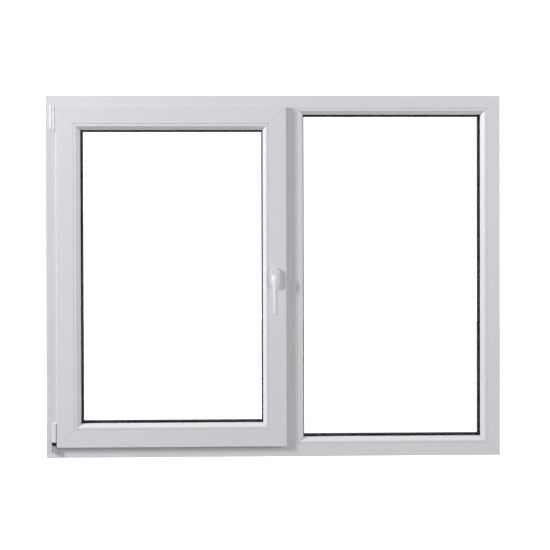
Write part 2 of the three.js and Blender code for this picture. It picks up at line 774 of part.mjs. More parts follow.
// The lower hinge's cover, flat towards the sash and open below and behind.
function cornerHingeCover() {
  const z0 = TILT_Z + HINGE_COVER.start;
  const z1 = cornerHingeZ1 + HINGE_COVER.top;
  const cover = cut(
    post(0, 0, HINGE_COVER.radius, z0, z1),
    post(0, 0, CAP_RADIUS + CLEARANCE, z0 - 1, cornerHingeZ1 + CLEARANCE),
    box([CAP_RADIUS, -HINGE_COVER.radius - 1, z0 - 1], [HINGE_COVER.radius + 1, HINGE_PROUD, z1 + 1]),
    box([-CLEARANCE, 0, z0 - 1], [HINGE_COVER.radius, HINGE_PROUD, cornerHingeZ1 + CLEARANCE]),
  );
  return piece("corner_hinge_cover", cover, coverPlastic());
}

// ---------- locking gear ----------

const KEEP = { length: 60, width: 22, plate: 2.7, hook: 6.2, hookWidth: 4 };

// A keep that lies on a rebate floor: a plate with a low hook wall on the room side.
// Drawn with its foot at u = 0 and rising along +X, for a placement on any side of the opening.
function keep(name, side, along) {
  const outline = polygon([
    [CLEARANCE, GROOVE_Y - KEEP.width / 2],
    [KEEP.hook, GROOVE_Y - KEEP.width / 2],
    [KEEP.hook, GROOVE_Y - KEEP.width / 2 + KEEP.hookWidth],
    [KEEP.plate + CLEARANCE, GROOVE_Y - KEEP.width / 2 + KEEP.hookWidth],
    [KEEP.plate + CLEARANCE, GROOVE_Y + KEEP.width / 2],
    [CLEARANCE, GROOVE_Y + KEEP.width / 2],
  ]);
  const geometry = lying(outline, along - KEEP.length / 2, along + KEEP.length / 2);
  return placeOnSide(piece(name, geometry, zinc()), sashOpening, side);
}

const CORNER_LEG = 70;
const FACEPLATE = { thickness: 2.2, end: SASH_BODY + CORNER_LEG + 2 * CLEARANCE };
const ROD = { thickness: 3, width: 11, end: 130 };
const ROD_U = SASH_BODY + GROOVE_DEPTH + CLEARANCE;

// A flat bar with cams, drawn along +Z in the frame of a sash side; cams point out of the groove.
function rodGeometry(start, end, cams) {
  const camTop = SASH_BODY - CAM_HEIGHT;
  const bar = box(
    [ROD_U, GROOVE_Y - ROD.width / 2, start],
    [ROD_U + ROD.thickness, GROOVE_Y + ROD.width / 2, end],
  );
  const camPosts = cams.map((along) => {
    const cam = new THREE.CylinderGeometry(CAM_RADIUS, CAM_RADIUS, ROD_U + 1 - camTop, ROUND_SIDES);
    cam.rotateZ(Math.PI / 2);
    cam.translate((ROD_U + 1 + camTop) / 2, GROOVE_Y, along);
    return cam;
  });
  return join(bar, ...camPosts);
}

const sideCams = [CAM_FROM_END, sideLength(sashRect, "right") - CAM_FROM_END];

function sideRod() {
  const length = sideLength(sashRect, "right");
  const geometry = rodGeometry(ROD.end, length - ROD.end, sideCams);
  return placeOnSide(piece("drive_rod_side", geometry, zinc()), sashRect, "right");
}

// The top rod is clear of the stay arm's guide pin and of the corner drive.
const topRodStart = STAY_LENGTH + ROD_TRAVEL + 3 * CAM_RADIUS;
const topCam = (topRodStart + sideLength(sashRect, "top") - ROD.end) / 2;

function topRod() {
  const geometry = rodGeometry(topRodStart, sideLength(sashRect, "top") - ROD.end, [topCam]);
  return placeOnSide(piece("drive_rod_top", geometry, zinc()), sashRect, "top");
}

// The plate that closes the lock stile's groove, slotted for the cams' travel.
function faceplate() {
  const length = sideLength(sashRect, "right");
  const u0 = SASH_BODY + CLEARANCE;
  const half = GROOVE_WIDTH / 2 - CLEARANCE;
  const plate = box(
    [u0, GROOVE_Y - half, FACEPLATE.end],
    [u0 + FACEPLATE.thickness, GROOVE_Y + half, length - FACEPLATE.end],
  );
  const slot = CAM_RADIUS + 2 * CLEARANCE;
  const slots = sideCams.map((along) =>
    box(
      [u0 - 1, GROOVE_Y - slot, along - ROD_TRAVEL - slot],
      [u0 + FACEPLATE.thickness + 1, GROOVE_Y + slot, along + slot],
    ),
  );
  return placeOnSide(piece("sash_faceplate", cut(plate, ...slots), zinc()), sashRect, "right");
}

// The elbow that leads the drive round the upper lock-side corner.
function cornerDrive() {
  const outer = inset(sashRect, SASH_BODY + CLEARANCE);
  const legX = outer.x1 - CORNER_LEG;
  const legZ = outer.z1 - CORNER_LEG;
  const t = FACEPLATE.thickness;
  const outline = polygon([
    [outer.x1, outer.z1],
    [legX, outer.z1],
    [legX, outer.z1 - t],
    [outer.x1 - t, outer.z1 - t],
    [outer.x1 - t, legZ],
    [outer.x1, legZ],
  ]);
  const half = GROOVE_WIDTH / 2 - CLEARANCE;
  const geometry = standing(outline, GROOVE_Y - half, GROOVE_Y + half);
  return piece("corner_drive", geometry, zinc());
}

// The gearbox behind the handle, with a round hole that the spindle turns in.
function gearbox() {
  const along = sashRect.z1 - HANDLE_HEIGHT;
  const u0 = SASH_BODY + GEARBOX.setBack;
  const halfWidth = GEARBOX.width / 2;
  const body = box(
    [u0, GROOVE_Y - halfWidth, along - GEARBOX.height / 2],
    [u0 + GEARBOX.depth, GROOVE_Y + halfWidth, along + GEARBOX.height / 2],
  );
  const hole = new THREE.CylinderGeometry(SPINDLE_HUB, SPINDLE_HUB, GEARBOX.width + 2, ROUND_SIDES);
  hole.translate(HANDLE_DEPTH_IN_SASH, GROOVE_Y, along);
  return placeOnSide(piece("gearbox", cut(body, hole), zinc()), sashRect, "right");
}

// ---------- handle, about its axis on the sash's face ----------

const ROSETTE = { width: 30, height: 66, thickness: 10, corner: 14.5 };
const NECK_RADIUS = 10;
const GRIP = { thickness: 12, top: 13.5, tip: 7, bevel: 2 };

function roundedPlate(width, height, corner) {
  const x = width / 2 - corner;
  const y = height / 2 - corner;
  const outline = new THREE.Shape();
  outline.absarc(x, y, corner, 0, Math.PI / 2);
  outline.absarc(-x, y, corner, Math.PI / 2, Math.PI);
  outline.absarc(-x, -y, corner, Math.PI, 1.5 * Math.PI);
  outline.absarc(x, -y, corner, 1.5 * Math.PI, 2 * Math.PI);
  return outline;
}

function rosette() {
  const plate = standing(
    roundedPlate(ROSETTE.width, ROSETTE.height, ROSETTE.corner),
    -ROSETTE.thickness,
    -CLEARANCE,
  );
  const radius = NECK_RADIUS + CLEARANCE;
  const hole = new THREE.CylinderGeometry(radius, radius, 3 * ROSETTE.thickness, ROUND_SIDES);
  return piece("handle_rosette", cut(plate, hole), lacquered());
}

// The lever hangs down when the sash is locked: a round top over the neck, tapering to its tip.
function lever() {
  const outline = new THREE.Shape();
  const tipZ = GRIP.top + GRIP.tip - LEVER_LENGTH;
  outline.absarc(0, 0, GRIP.top - GRIP.bevel, 0, Math.PI);
  outline.absarc(0, tipZ, GRIP.tip - GRIP.bevel, Math.PI, 2 * Math.PI);
  const grip = new THREE.ExtrudeGeometry(outline, {
    depth: GRIP.thickness - 2 * GRIP.bevel,
    bevelThickness: GRIP.bevel,
    bevelSize: GRIP.bevel,
    bevelSegments: 2,
    curveSegments: 8,
  });
  grip.rotateX(Math.PI / 2);
  grip.translate(0, -LEVER_STANDOFF - GRIP.bevel, 0);
  const neckEnd = LEVER_STANDOFF + GRIP.bevel + 1;
  const neck = new THREE.CylinderGeometry(NECK_RADIUS, NECK_RADIUS, neckEnd - 1, ROUND_SIDES);
  neck.translate(0, -(neckEnd + 1) / 2, 0);
  const half = SPINDLE / 2 + CLEARANCE;
  const bore = box([-half, -SPINDLE_IN_LEVER - CLEARANCE, -half], [half, 0, half]);
  return piece("handle_lever", cut(join(grip, neck), bore), lacquered());
}

const SPINDLE_IN_LEVER = 30;

function spindle() {
  const half = SPINDLE / 2;
  const reach = GROOVE_Y + GEARBOX.width / 2 - SASH_FRONT;
  const geometry = box([-half, -SPINDLE_IN_LEVER, -half], [half, reach, half]);
  return piece("handle_spindle", geometry, zinc());
}

// ---------- assembly ----------

function group(position, ...meshes) {
  const made = new THREE.Group();
  made.position.set(...position);
  made.add(...meshes);
  return made;
}

const sashRebate = inset(sashRect, SASH_FACE);
const hingeAxis = [HINGE_X, HINGE_Y, 0];

const frame = group(
  [0, 0, 0],
  ...frameLengths(),
  ...mullionPieces(),
  stopSeal(),
  drainCap("drain_cap_left", -DRAIN_SPACING),
  drainCap("drain_cap_right", DRAIN_SPACING),
  ...glazing("fixed", fixedOpening, FRAME_LIP, FRAME_LIP_Y, FRAME_FRONT),
  keep("keep_side_upper", "right", sideCams[0] - OVERLAP),
  keep("keep_side_lower", "right", sideCams[1] - OVERLAP),
  keep("keep_top", "top", topCam - OVERLAP),
);

const hinges = group(
  hingeAxis,
  ...stayBearing(),
  cornerBearing(),
  stayPin(),
  cornerPivotPin(),
  stayArm(),
  stayArmCap(),
  cornerHinge(),
  cornerHingeCover(),
);

const sash = group(
  [0, 0, 0],
  ...sashLengths(),
  overlapSeal(),
  ...glazing("sash", sashRebate, SASH_LIP, SASH_LIP_Y, SASH_FRONT),
  faceplate(),
  cornerDrive(),
  gearbox(),
  sideRod(),
  topRod(),
);

const handle = group([HANDLE_X, SASH_FRONT, HANDLE_HEIGHT], rosette(), lever(), spindle());

export default group([0, 0, 0], frame, hinges, sash, handle);
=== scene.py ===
import math

import bmesh
import bpy
from mathutils import Matrix, Vector
from mathutils.geometry import tessellate_polygon


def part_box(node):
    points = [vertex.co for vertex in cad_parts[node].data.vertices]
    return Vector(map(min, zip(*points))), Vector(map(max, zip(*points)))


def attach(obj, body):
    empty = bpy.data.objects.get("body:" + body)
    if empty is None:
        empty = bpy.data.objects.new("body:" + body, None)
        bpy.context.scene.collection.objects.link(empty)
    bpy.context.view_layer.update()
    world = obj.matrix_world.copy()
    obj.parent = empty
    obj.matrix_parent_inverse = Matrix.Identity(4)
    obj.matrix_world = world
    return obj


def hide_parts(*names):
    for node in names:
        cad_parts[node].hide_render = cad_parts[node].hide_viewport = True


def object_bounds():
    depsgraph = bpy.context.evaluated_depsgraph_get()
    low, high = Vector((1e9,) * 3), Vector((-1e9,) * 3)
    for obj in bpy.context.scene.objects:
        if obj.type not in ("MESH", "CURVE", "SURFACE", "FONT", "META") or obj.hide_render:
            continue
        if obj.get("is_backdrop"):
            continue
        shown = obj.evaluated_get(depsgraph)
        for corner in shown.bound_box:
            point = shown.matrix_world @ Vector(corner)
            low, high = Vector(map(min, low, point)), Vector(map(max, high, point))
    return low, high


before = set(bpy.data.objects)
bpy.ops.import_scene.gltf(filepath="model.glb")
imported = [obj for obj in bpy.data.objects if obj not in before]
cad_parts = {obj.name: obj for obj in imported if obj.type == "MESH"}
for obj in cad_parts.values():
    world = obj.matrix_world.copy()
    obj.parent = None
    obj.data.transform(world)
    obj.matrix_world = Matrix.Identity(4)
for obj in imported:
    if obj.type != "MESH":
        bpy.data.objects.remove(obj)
CAD_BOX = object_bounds()

MM = 0.001

# ---------- sizes of the profiles, in millimetres ----------

FRAME_FACE = 42
FRAME_LIP = 22
FRAME_LIP_THICKNESS = 15
WALL = 3
FRONT_CHAMBER = 10  # depth of the chamber behind the room face
STEEL_STOP = 10  # how far the steel's chamber stops short of the lip
COPE_GAP = 0.3  # the mullion's coped lips stay clear of the frame's by this
WALL_GROOVE = 4
WALL_GROOVE_DEPTH = 2
WALL_GROOVE_Y = 20
SASH_FACE = 58
SASH_BODY = 18
SASH_LIP = 22
SASH_LIP_THICKNESS = 14
SASH_FLANGE = 12
GROOVE_Y = -22
GROOVE = 18
GROOVE_DEPTH = 3
ROD_GROOVE = 12
ROD_GROOVE_DEPTH = 8
BEAD_FLAT = 8.5
BEAD_DROP = 11
BEAD_SINK = 0.35  # the bead's front lies this far below the sash's face at the joint
BEAD_START = 0.3  # from the edge of the rebate
BEAD_GROOVE = 0.3  # depth and width of the seam where two beads meet
GASKET_WIDTH = 9
GASKET_LIP = 3.5
WELD_GAP = 0.12
WELD_GROOVE = 0.25  # depth and width of the cleaned weld seam
ARC_STEPS = 4
NEARLY_STRAIGHT = 1.56  # a corner whose half angle is over this, in radians, isn't rounded
MERGE = 1e-4  # vertices closer than this become one


# ---------- places from the frame ----------

def box_mm(node):
    lo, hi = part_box(node)
    return lo / MM, hi / MM


def rect_of(left, right, bottom, top):
    """x0, x1, z0, z1 round four lengths."""
    return (box_mm(left)[0].x, box_mm(right)[1].x, box_mm(bottom)[0].z, box_mm(top)[1].z)


def inset(rect, d):
    x0, x1, z0, z1 = rect
    return (x0 + d, x1 - d, z0 + d, z1 - d)


# ---------- outlines ----------

def rounded(corners, steps=ARC_STEPS):
    """Corners are (u, y, radius); each is replaced by an arc of that radius."""
    points = []
    count = len(corners)
    for i, (u, y, radius) in enumerate(corners):
        here = Vector((u, y))
        back = (Vector(corners[i - 1][:2]) - here).normalized()
        ahead = (Vector(corners[(i + 1) % count][:2]) - here).normalized()
        half = back.angle(ahead) / 2
        if radius <= 0 or half > NEARLY_STRAIGHT:
            points.append(here)
            continue
        reach = radius / math.tan(half)
        centre = here + (back + ahead).normalized() * (radius / math.sin(half))
        a = here + back * reach - centre
        b = here + ahead * reach - centre
        turn = a.angle_signed(b)
        for k in range(steps + 1):
            angle = -turn * k / steps
            c, s = math.cos(angle), math.sin(angle)
            points.append(centre + Vector((a.x * c - a.y * s, a.x * s + a.y * c)))
    return points


def signed_area(points):
    return sum(a.x * b.y - b.x * a.y for a, b in zip(points, points[1:] + points[:1])) / 2


def shrunk(points, d):
    """Each point moved inwards by d."""
    sign = 1 if signed_area(points) > 0 else -1
    moved = []
    count = len(points)
    for i, p in enumerate(points):
        a = (p - points[i - 1]).normalized()
        b = (points[(i + 1) % count] - p).normalized()
        if a.length == 0:
            a = b
        if b.length == 0:
            b = a
        normal = Vector((-(a.y + b.y), a.x + b.x))
        if normal.length < 1e-6:
            moved.append(p.copy())
            continue
        normal.normalize()
        cos = max(0.5, normal.dot(Vector((-a.y, a.x))))
        moved.append(p + normal * (sign * d / cos))
    return moved


def rectangle(u0, u1, y0, y1, radius=0.6):
    return rounded([(u0, y0, radius), (u1, y0, radius), (u1, y1, radius), (u0, y1, radius)], 2)


# ---------- meshes ----------

class Build:
    """A mesh that grows ring by ring, in millimetres, with a texture map along each piece."""

    def __init__(self):
        self.bm = bmesh.new()
        self.uv = self.bm.loops.layers.uv.new("along")

    def ring(self, points):
        return [self.bm.verts.new(p) for p in points]

    def face(self, verts, coords=None):
        if len(set(verts)) < len(verts):
            return
        made = self.bm.faces.new(verts)
        if coords:
            for loop, c in zip(made.loops, coords):
                loop[self.uv].uv = c

    def skin(self, a, b):
        """Quads between two rings; the map holds metres round and along."""
        count = len(a)
        around = 0.0
        for i in range(count):
            j = (i + 1) % count
            step = max((a[i].co - a[j].co).length, (b[i].co - b[j].co).length)
            along = (b[i].co - a[i].co).length
            start = min(a[i].co.x + a[i].co.z, b[i].co.x + b[i].co.z)
            u0, u1 = around * MM, (around + step) * MM
            v0, v1 = start * MM, (start + along) * MM
            self.face((a[i], a[j], b[j], b[i]), ((u0, v0), (u1, v0), (u1, v1), (u0, v1)))
            around += step

    def cap(self, outer, *holes):
        loops = [outer, *holes]
        flat = [v for loop in loops for v in loop]
        for tri in tessellate_polygon([[v.co for v in loop] for loop in loops]):
            self.face([flat[k] for k in tri])

    def finish(self, name, material, body, slot, nodes=(), smooth=35):
        bm = self.bm
        bmesh.ops.remove_doubles(bm, verts=bm.verts, dist=MERGE)
        bmesh.ops.dissolve_degenerate(bm, edges=bm.edges, dist=MERGE)
        bmesh.ops.recalc_face_normals(bm, faces=bm.faces)
        bmesh.ops.scale(bm, vec=(MM, MM, MM), verts=bm.verts)
        mesh = bpy.data.meshes.new(name)
        bm.to_mesh(mesh)
        bm.free()
        mesh.shade_smooth()
        mesh.set_sharp_from_angle(angle=math.radians(smooth))
        mesh.materials.append(material)
        made = bpy.data.objects.new(name, mesh)
        bpy.context.scene.collection.objects.link(made)
        weighted = made.modifiers.new("weighted", "WEIGHTED_NORMAL")
        weighted.keep_sharp = True
        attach(made, body)
        if nodes:
            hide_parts(*nodes)
        return made


# A side's own axes: distance from the edge, depth, and the way along it.
SIDE_AXES = {
    "left": lambda r: (Vector((r[0], 0, r[2])), Vector((1, 0, 0)), Vector((0, 0, 1)), r[3] - r[2]),
    "top": lambda r: (Vector((r[0], 0, r[3])), Vector((0, 0, -1)), Vector((1, 0, 0)), r[1] - r[0]),
    "right": lambda r: (Vector((r[1], 0, r[3])), Vector((-1, 0, 0)), Vector((0, 0, -1)), r[3] - r[2]),
    "bottom": lambda r: (Vector((r[1], 0, r[2])), Vector((0, 0, 1)), Vector((-1, 0, 0)), r[1] - r[0]),
}


def mitred_length(outline, chambers, rect, side, groove=WELD_GROOVE):
    """A profile along one side, mitred at both ends with a sunk weld seam."""
    origin, across, along, length = SIDE_AXES[side](rect)
    build = Build()

    def ring(points, back, far):
        return build.ring(
            origin
            + across * p.x
            + Vector((0, p.y, 0))
            + along * ((length - p.x - back) if far else (p.x + back))
            for p in points
        )

    thin = shrunk(outline, groove)
    skins = [
        ring(thin, WELD_GAP, False),
        ring(outline, WELD_GAP + groove, False),
        ring(outline, WELD_GAP + groove, True),
        ring(thin, WELD_GAP, True),
    ]
    for a, b in zip(skins, skins[1:]):
        build.skin(a, b)
    near, far = [], []
    for chamber in chambers:
        a, b = ring(chamber, WELD_GAP, False), ring(chamber, WELD_GAP, True)
        build.skin(a, b)
        near.append(a)
        far.append(b)
    build.cap(skins[0], *near)
    build.cap(skins[-1], *far)
    return build


def ring_loop(section, rect):
    """A closed loop of one section round a rectangle; the section is (inset, depth)."""
    x0, x1, z0, z1 = rect
    corners = [(x0, z0, 1, 1), (x0, z1, 1, -1), (x1, z1, -1, -1), (x1, z0, -1, 1)]
    build = Build()
    rings = [
        build.ring(Vector((x + sx * p.x, p.y, z + sz * p.x)) for p in section)
        for x, z, sx, sz in corners
    ]
    for a, b in zip(rings, rings[1:] + rings[:1]):
        build.skin(a, b)
    return build


# ---------- materials ----------

class Nodes:
    """A node tree that is built by name."""

    def __init__(self, name):
        self.material = bpy.data.materials.new(name)
        self.material.use_nodes = True
        self.tree = self.material.node_tree
        self.shader = self.tree.nodes["Principled BSDF"]

    def add(self, kind, values=None, **settings):
        node = self.tree.nodes.new(kind)
        for key, value in settings.items():
            setattr(node, key, value)
        for key, value in (values or {}).items():
            node.inputs[key].default_value = value
        return node

    def link(self, source, target):
        self.tree.links.new(source, target)

    def set(self, **values):
        for key, value in values.items():
            self.shader.inputs[key.replace("_", " ")].default_value = value

    def place(self, scale):
        """The piece's own coordinates, stretched by a scale for each axis."""
        coords = self.add("ShaderNodeTexCoord")
        mapping = self.add("ShaderNodeMapping", {"Scale": scale})
        self.link(coords.outputs["Object"], mapping.inputs["Vector"])
        return mapping.outputs["Vector"]

    def along(self, scale):
        """Coordinates that follow a drawn profile: round it, then along it."""
        uv = self.add("ShaderNodeUVMap", uv_map="along")
        mapping = self.add("ShaderNodeMapping", {"Scale": scale})
        self.link(uv.outputs["UV"], mapping.inputs["Vector"])
        return mapping.outputs["Vector"]

    def noise(self, vector, scale, detail=3.0, roughness=0.5):
        node = self.add("ShaderNodeTexNoise", {"Scale": scale, "Detail": detail, "Roughness": roughness})
        self.link(vector, node.inputs["Vector"])
        return node.outputs["Fac"]

    def ramp(self, fac, *stops):
        """Stops are (place, colour)."""
        node = self.add("ShaderNodeValToRGB")
        self.link(fac, node.inputs["Fac"])
        ends = node.color_ramp.elements
        for k, (place, colour) in enumerate(stops):
            end = ends[k] if k < len(ends) else ends.new(place)
            end.position = place
            end.color = (*colour, 1)
        return node.outputs["Color"]

    def span(self, fac, low, high, a=0.3, b=0.7):
        """A number that runs from low to high as fac runs from a to b."""
        node = self.add("ShaderNodeMapRange", {"From Min": a, "From Max": b, "To Min": low, "To Max": high})
        self.link(fac, node.inputs["Value"])
        return node.outputs["Result"]

    def mix(self, fac, a, b):
        node = self.add("ShaderNodeMix", data_type="RGBA")
        for socket, value in ((node.inputs[0], fac), (node.inputs[6], a), (node.inputs[7], b)):
            if isinstance(value, (int, float)):
                socket.default_value = value
            elif isinstance(value, tuple):
                socket.default_value = (*value, 1)
            else:
                self.link(value, socket)
        return node.outputs[2]

    def bump(self, *layers):
        """Layers are (height, strength, distance in metres)."""
        normal = None
        for height, strength, distance in layers:
            node = self.add("ShaderNodeBump", {"Strength": strength, "Distance": distance})
            self.link(height, node.inputs["Height"])
            if normal:
                self.link(normal, node.inputs["Normal"])
            normal = node.outputs["Normal"]
        self.link(normal, self.shader.inputs["Normal"])

    def crevice(self, distance):
        """Zero in a joint or corner narrower than the distance, one in the open."""
        node = self.add("ShaderNodeAmbientOcclusion", {"Distance": distance}, samples=6)
        return node.outputs["AO"]


PLASTIC = (0.735, 0.728, 0.762)
PLASTIC_WARM = (0.752, 0.738, 0.752)
# the colour of the painted shade laid into joints and crevices by the materials below
PAINTED_CREVICE_SHADE = (0.36, 0.35, 0.37)


def white_plastic():
    """Extruded window plastic: faint draw lines along the profile, soft mottling, painted shade darkening the
    joints and crevices.
    """
    n = Nodes("white_plastic")
    body = n.place((1, 1, 1))
    drawn = n.along((1, 0.012, 1))
    lines = n.noise(drawn, 900, 2, 0.6)
    grain = n.noise(body, 2600, 2)
    patches = n.noise(body, 7, 4)
    clouds = n.noise(body, 60, 3)
    tone = n.ramp(patches, (0.35, PLASTIC), (0.65, PLASTIC_WARM))
    tone = n.mix(n.span(lines, 0.0, 0.045), tone, (0.62, 0.615, 0.64))
    tone = n.mix(n.span(clouds, 0.0, 0.05, 0.45, 0.75), tone, (0.66, 0.65, 0.65))
    # painted shade: darker in joints and crevices, where the surface is hemmed in
    crevice_shade = n.span(n.crevice(0.0014), 0.55, 0.0, 0.15, 0.75)
    tone = n.mix(crevice_shade, tone, PAINTED_CREVICE_SHADE)
    n.link(tone, n.shader.inputs["Base Color"])
    n.link(n.span(clouds, 0.3, 0.46, 0.35, 0.7), n.shader.inputs["Roughness"])
    n.bump((grain, 0.12, 0.00003), (lines, 0.1, 0.00004), (clouds, 0.08, 0.0004))
    n.set(IOR=1.53, Specular_IOR_Level=0.5)
    return n.material


def cover_plastic():
    """Moulded hinge covers and caps: a finer, glossier white with sink marks and handling haze."""
    n = Nodes("cover_plastic")
    body = n.place((1, 1, 1))
    haze = n.noise(body, 130, 4)
    grain = n.noise(body, 4200, 2)
    sink = n.noise(n.place((1, 1, 0.35)), 90, 2)
    tone = n.ramp(haze, (0.3, (0.80, 0.80, 0.83)), (0.7, (0.77, 0.765, 0.79)))
    # painted shade: darker in the cover's joints and crevices, where the surface is hemmed in
    tone = n.mix(n.span(n.crevice(0.0012), 0.6, 0.0, 0.3, 0.9), tone, PAINTED_CREVICE_SHADE)
    n.link(tone, n.shader.inputs["Base Color"])
    n.link(n.span(haze, 0.2, 0.36), n.shader.inputs["Roughness"])
    n.bump((grain, 0.15, 0.00002), (sink, 0.15, 0.0002))
    n.set(IOR=1.5)
    return n.material


def white_lacquer():
    """The handle's lacquer: orange peel, a clear gloss over it, faint finger haze, painted shade in its
    creases.
    """
    n = Nodes("white_lacquer")
    body = n.place((1, 1, 1))
    peel = n.add("ShaderNodeTexVoronoi", {"Scale": 1500.0, "Randomness": 1.0}, feature="SMOOTH_F1")
    n.link(body, peel.inputs["Vector"])
    haze = n.noise(n.place((1, 1, 0.4)), 55, 4)
    tone = n.ramp(haze, (0.35, (0.71, 0.71, 0.74)), (0.65, (0.69, 0.685, 0.71)))
    # painted shade: darker in the creases between rosette and lever, where the surface is hemmed in
    tone = n.mix(n.span(n.crevice(0.002), 0.5, 0.0, 0.3, 0.9), tone, PAINTED_CREVICE_SHADE)
    n.link(tone, n.shader.inputs["Base Color"])
    n.link(n.span(haze, 0.42, 0.55, 0.35, 0.65), n.shader.inputs["Roughness"])
    n.bump((peel.outputs["Distance"], 0.12, 0.00008), (haze, 0.06, 0.0003))
    n.set(Coat_Weight=0.12, Coat_Roughness=0.3, IOR=1.5)
    return n.material


def black_rubber():
    """Gasket rubber: near black, matt, with lengthwise drag marks and a grey bloom."""
    n = Nodes("black_rubber")
    drawn = n.along((1, 0.02, 1))
    drag = n.noise(drawn, 1100, 2, 0.6)
    bloom = n.noise(n.place((1, 1, 1)), 45, 5, 0.6)
    tone = n.ramp(bloom, (0.4, (0.0035, 0.0035, 0.0045)), (0.8, (0.010, 0.010, 0.011)))
    n.link(n.mix(n.span(drag, 0.0, 0.3), tone, (0.011, 0.011, 0.012)), n.shader.inputs["Base Color"])
    n.link(n.span(bloom, 0.55, 0.8), n.shader.inputs["Roughness"])
    n.bump((drag, 0.3, 0.00006), (n.noise(n.place((1, 1, 1)), 1900, 2), 0.25, 0.00003))
    n.set(Specular_IOR_Level=0.22)
    return n.material


def spacer_black():
    """The edge spacer between the panes: dark plastic with breathing pricks and a matt foil."""
    n = Nodes("spacer_black")
    body = n.place((1, 1, 1))
    pricks = n.add("ShaderNodeTexVoronoi", {"Scale": 260.0, "Randomness": 0.0})
    n.link(body, pricks.inputs["Vector"])
    foil = n.noise(n.place((40, 1, 40)), 12, 3)
    hole = n.span(pricks.outputs["Distance"], 1.0, 0.0, 0.08, 0.2)
    tone = n.ramp(foil, (0.3, (0.006, 0.006, 0.007)), (0.7, (0.012, 0.012, 0.013)))
    n.link(n.mix(hole, tone, (0.004, 0.004, 0.004)), n.shader.inputs["Base Color"])
    n.link(n.span(foil, 0.4, 0.65), n.shader.inputs["Roughness"])
    n.bump((hole, 0.2, 0.0002), (foil, 0.1, 0.0001))
    return n.material


def clear_glass():
    """Float glass: almost colourless, with a breath of haze in wiped streaks."""
    n = Nodes("clear_glass")
    wiped = n.noise(n.place((1, 1, 0.25)), 6, 4, 0.6)
    n.link(n.span(wiped, 0.0, 0.06, 0.45, 0.7), n.shader.inputs["Roughness"])
    tint = n.ramp(wiped, (0.3, (0.985, 0.996, 0.992)), (0.7, (0.99, 0.997, 0.995)))
    n.link(tint, n.shader.inputs["Base Color"])
    n.set(Transmission_Weight=1.0, IOR=1.5)
    return n.material


def galvanised_steel():
    """Hot-dip zinc on the stiffening tubes: crystal spangle with dull and bright grains."""
    n = Nodes("galvanised_steel")
    grain = n.add("ShaderNodeTexVoronoi", {"Scale": 95.0, "Randomness": 1.0})
    n.link(n.place((1, 1, 0.6)), grain.inputs["Vector"])
    spangle = n.add("ShaderNodeSeparateColor")
    n.link(grain.outputs["Color"], spangle.inputs["Color"])
    facet = spangle.outputs["Red"]
    n.link(n.ramp(facet, (0.0, (0.40, 0.42, 0.44)), (1.0, (0.62, 0.64, 0.66))), n.shader.inputs["Base Color"])
    n.link(n.span(facet, 0.3, 0.55, 0, 1), n.shader.inputs["Roughness"])
    n.bump((grain.outputs["Distance"], 0.1, 0.0004), (n.noise(n.place((1, 1, 1)), 900, 3), 0.1, 0.00005))
    n.set(Metallic=1.0)
    return n.material


def zinc_plated_steel():
    """Bright zinc on the fittings: rolling lines, a cool to straw tint, rubbed spots where pieces slide."""
    n = Nodes("zinc_plated_steel")
    rolled = n.noise(n.place((30, 1, 1)), 380, 3, 0.6)
    tint = n.noise(n.place((1, 1, 1)), 38, 4)
    rub = n.noise(n.place((1, 1, 0.4)), 160, 4, 0.7)
    tone = n.ramp(tint, (0.3, (0.60, 0.62, 0.65)), (0.55, (0.68, 0.68, 0.68)), (0.75, (0.66, 0.62, 0.55)))
    tone = n.mix(n.span(rub, 0.0, 0.5, 0.55, 0.8), tone, (0.36, 0.36, 0.37))
    # painted shade: near black in the fittings' joints and gaps, where the surface is hemmed in
    tone = n.mix(n.span(n.crevice(0.0015), 0.7, 0.0, 0.2, 0.8), tone, (0.08, 0.08, 0.09))
    n.link(tone, n.shader.inputs["Base Color"])
    n.link(n.span(rub, 0.24, 0.45), n.shader.inputs["Roughness"])
    n.bump((rolled, 0.12, 0.00005), (rub, 0.1, 0.0001))
    n.set(Metallic=0.6)
    return n.material


MATERIALS = {
    make.__name__: make()
    for make in (
        white_plastic,
        cover_plastic,
        white_lacquer,
        black_rubber,
        spacer_black,
        clear_glass,
        galvanised_steel,
        zinc_plated_steel,
    )
}


def finish(build, name, slot, body, nodes=(), **settings):
    return build.finish(name, MATERIALS[slot], body, slot, nodes, **settings)


# ---------- frame ----------

frame_rect = rect_of("frame_left_jamb", "frame_right_jamb", "frame_bottom_rail", "frame_head")
frame_rect = tuple(round(v) for v in frame_rect)
frame_lo, frame_hi = box_mm("frame_right_jamb")
FRONT, BACK = frame_lo.y, frame_hi.y


def frame_outline():
    lip_y = BACK - FRAME_LIP_THICKNESS
    half = WALL_GROOVE / 2
    corners = [
        (0, FRONT, 1.6),
        (FRAME_FACE, FRONT, 1.2),
        (FRAME_FACE, lip_y, 0.8),
        (FRAME_FACE + FRAME_LIP, lip_y, 1.2),
        (FRAME_FACE + FRAME_LIP, BACK, 1.6),
        (0, BACK, 1.2),
    ]
    for y in (WALL_GROOVE_Y, -WALL_GROOVE_Y):
        corners += [
            (0, y + half, 0.4),
            (WALL_GROOVE_DEPTH, y + half, 0.3),
            (WALL_GROOVE_DEPTH, y - half, 0.3),
            (0, y - half, 0.4),
        ]
    return rounded(corners)


def frame_chambers():
    """The three chambers of the body and the one in the lip."""
    lip_y = BACK - FRAME_LIP_THICKNESS
    u0, u1 = WALL + WALL_GROOVE_DEPTH, FRAME_FACE - WALL
    first = FRONT + WALL + FRONT_CHAMBER
    steel = lip_y - STEEL_STOP
    return [
        rectangle(u0, u1, FRONT + WALL, first),
        rectangle(u0, u1, first + WALL, steel),
        rectangle(u0, u1, steel + WALL, BACK - WALL),
        rectangle(u1 + 2 * WALL, FRAME_FACE + FRAME_LIP - WALL, lip_y + WALL, BACK - WALL),
    ]


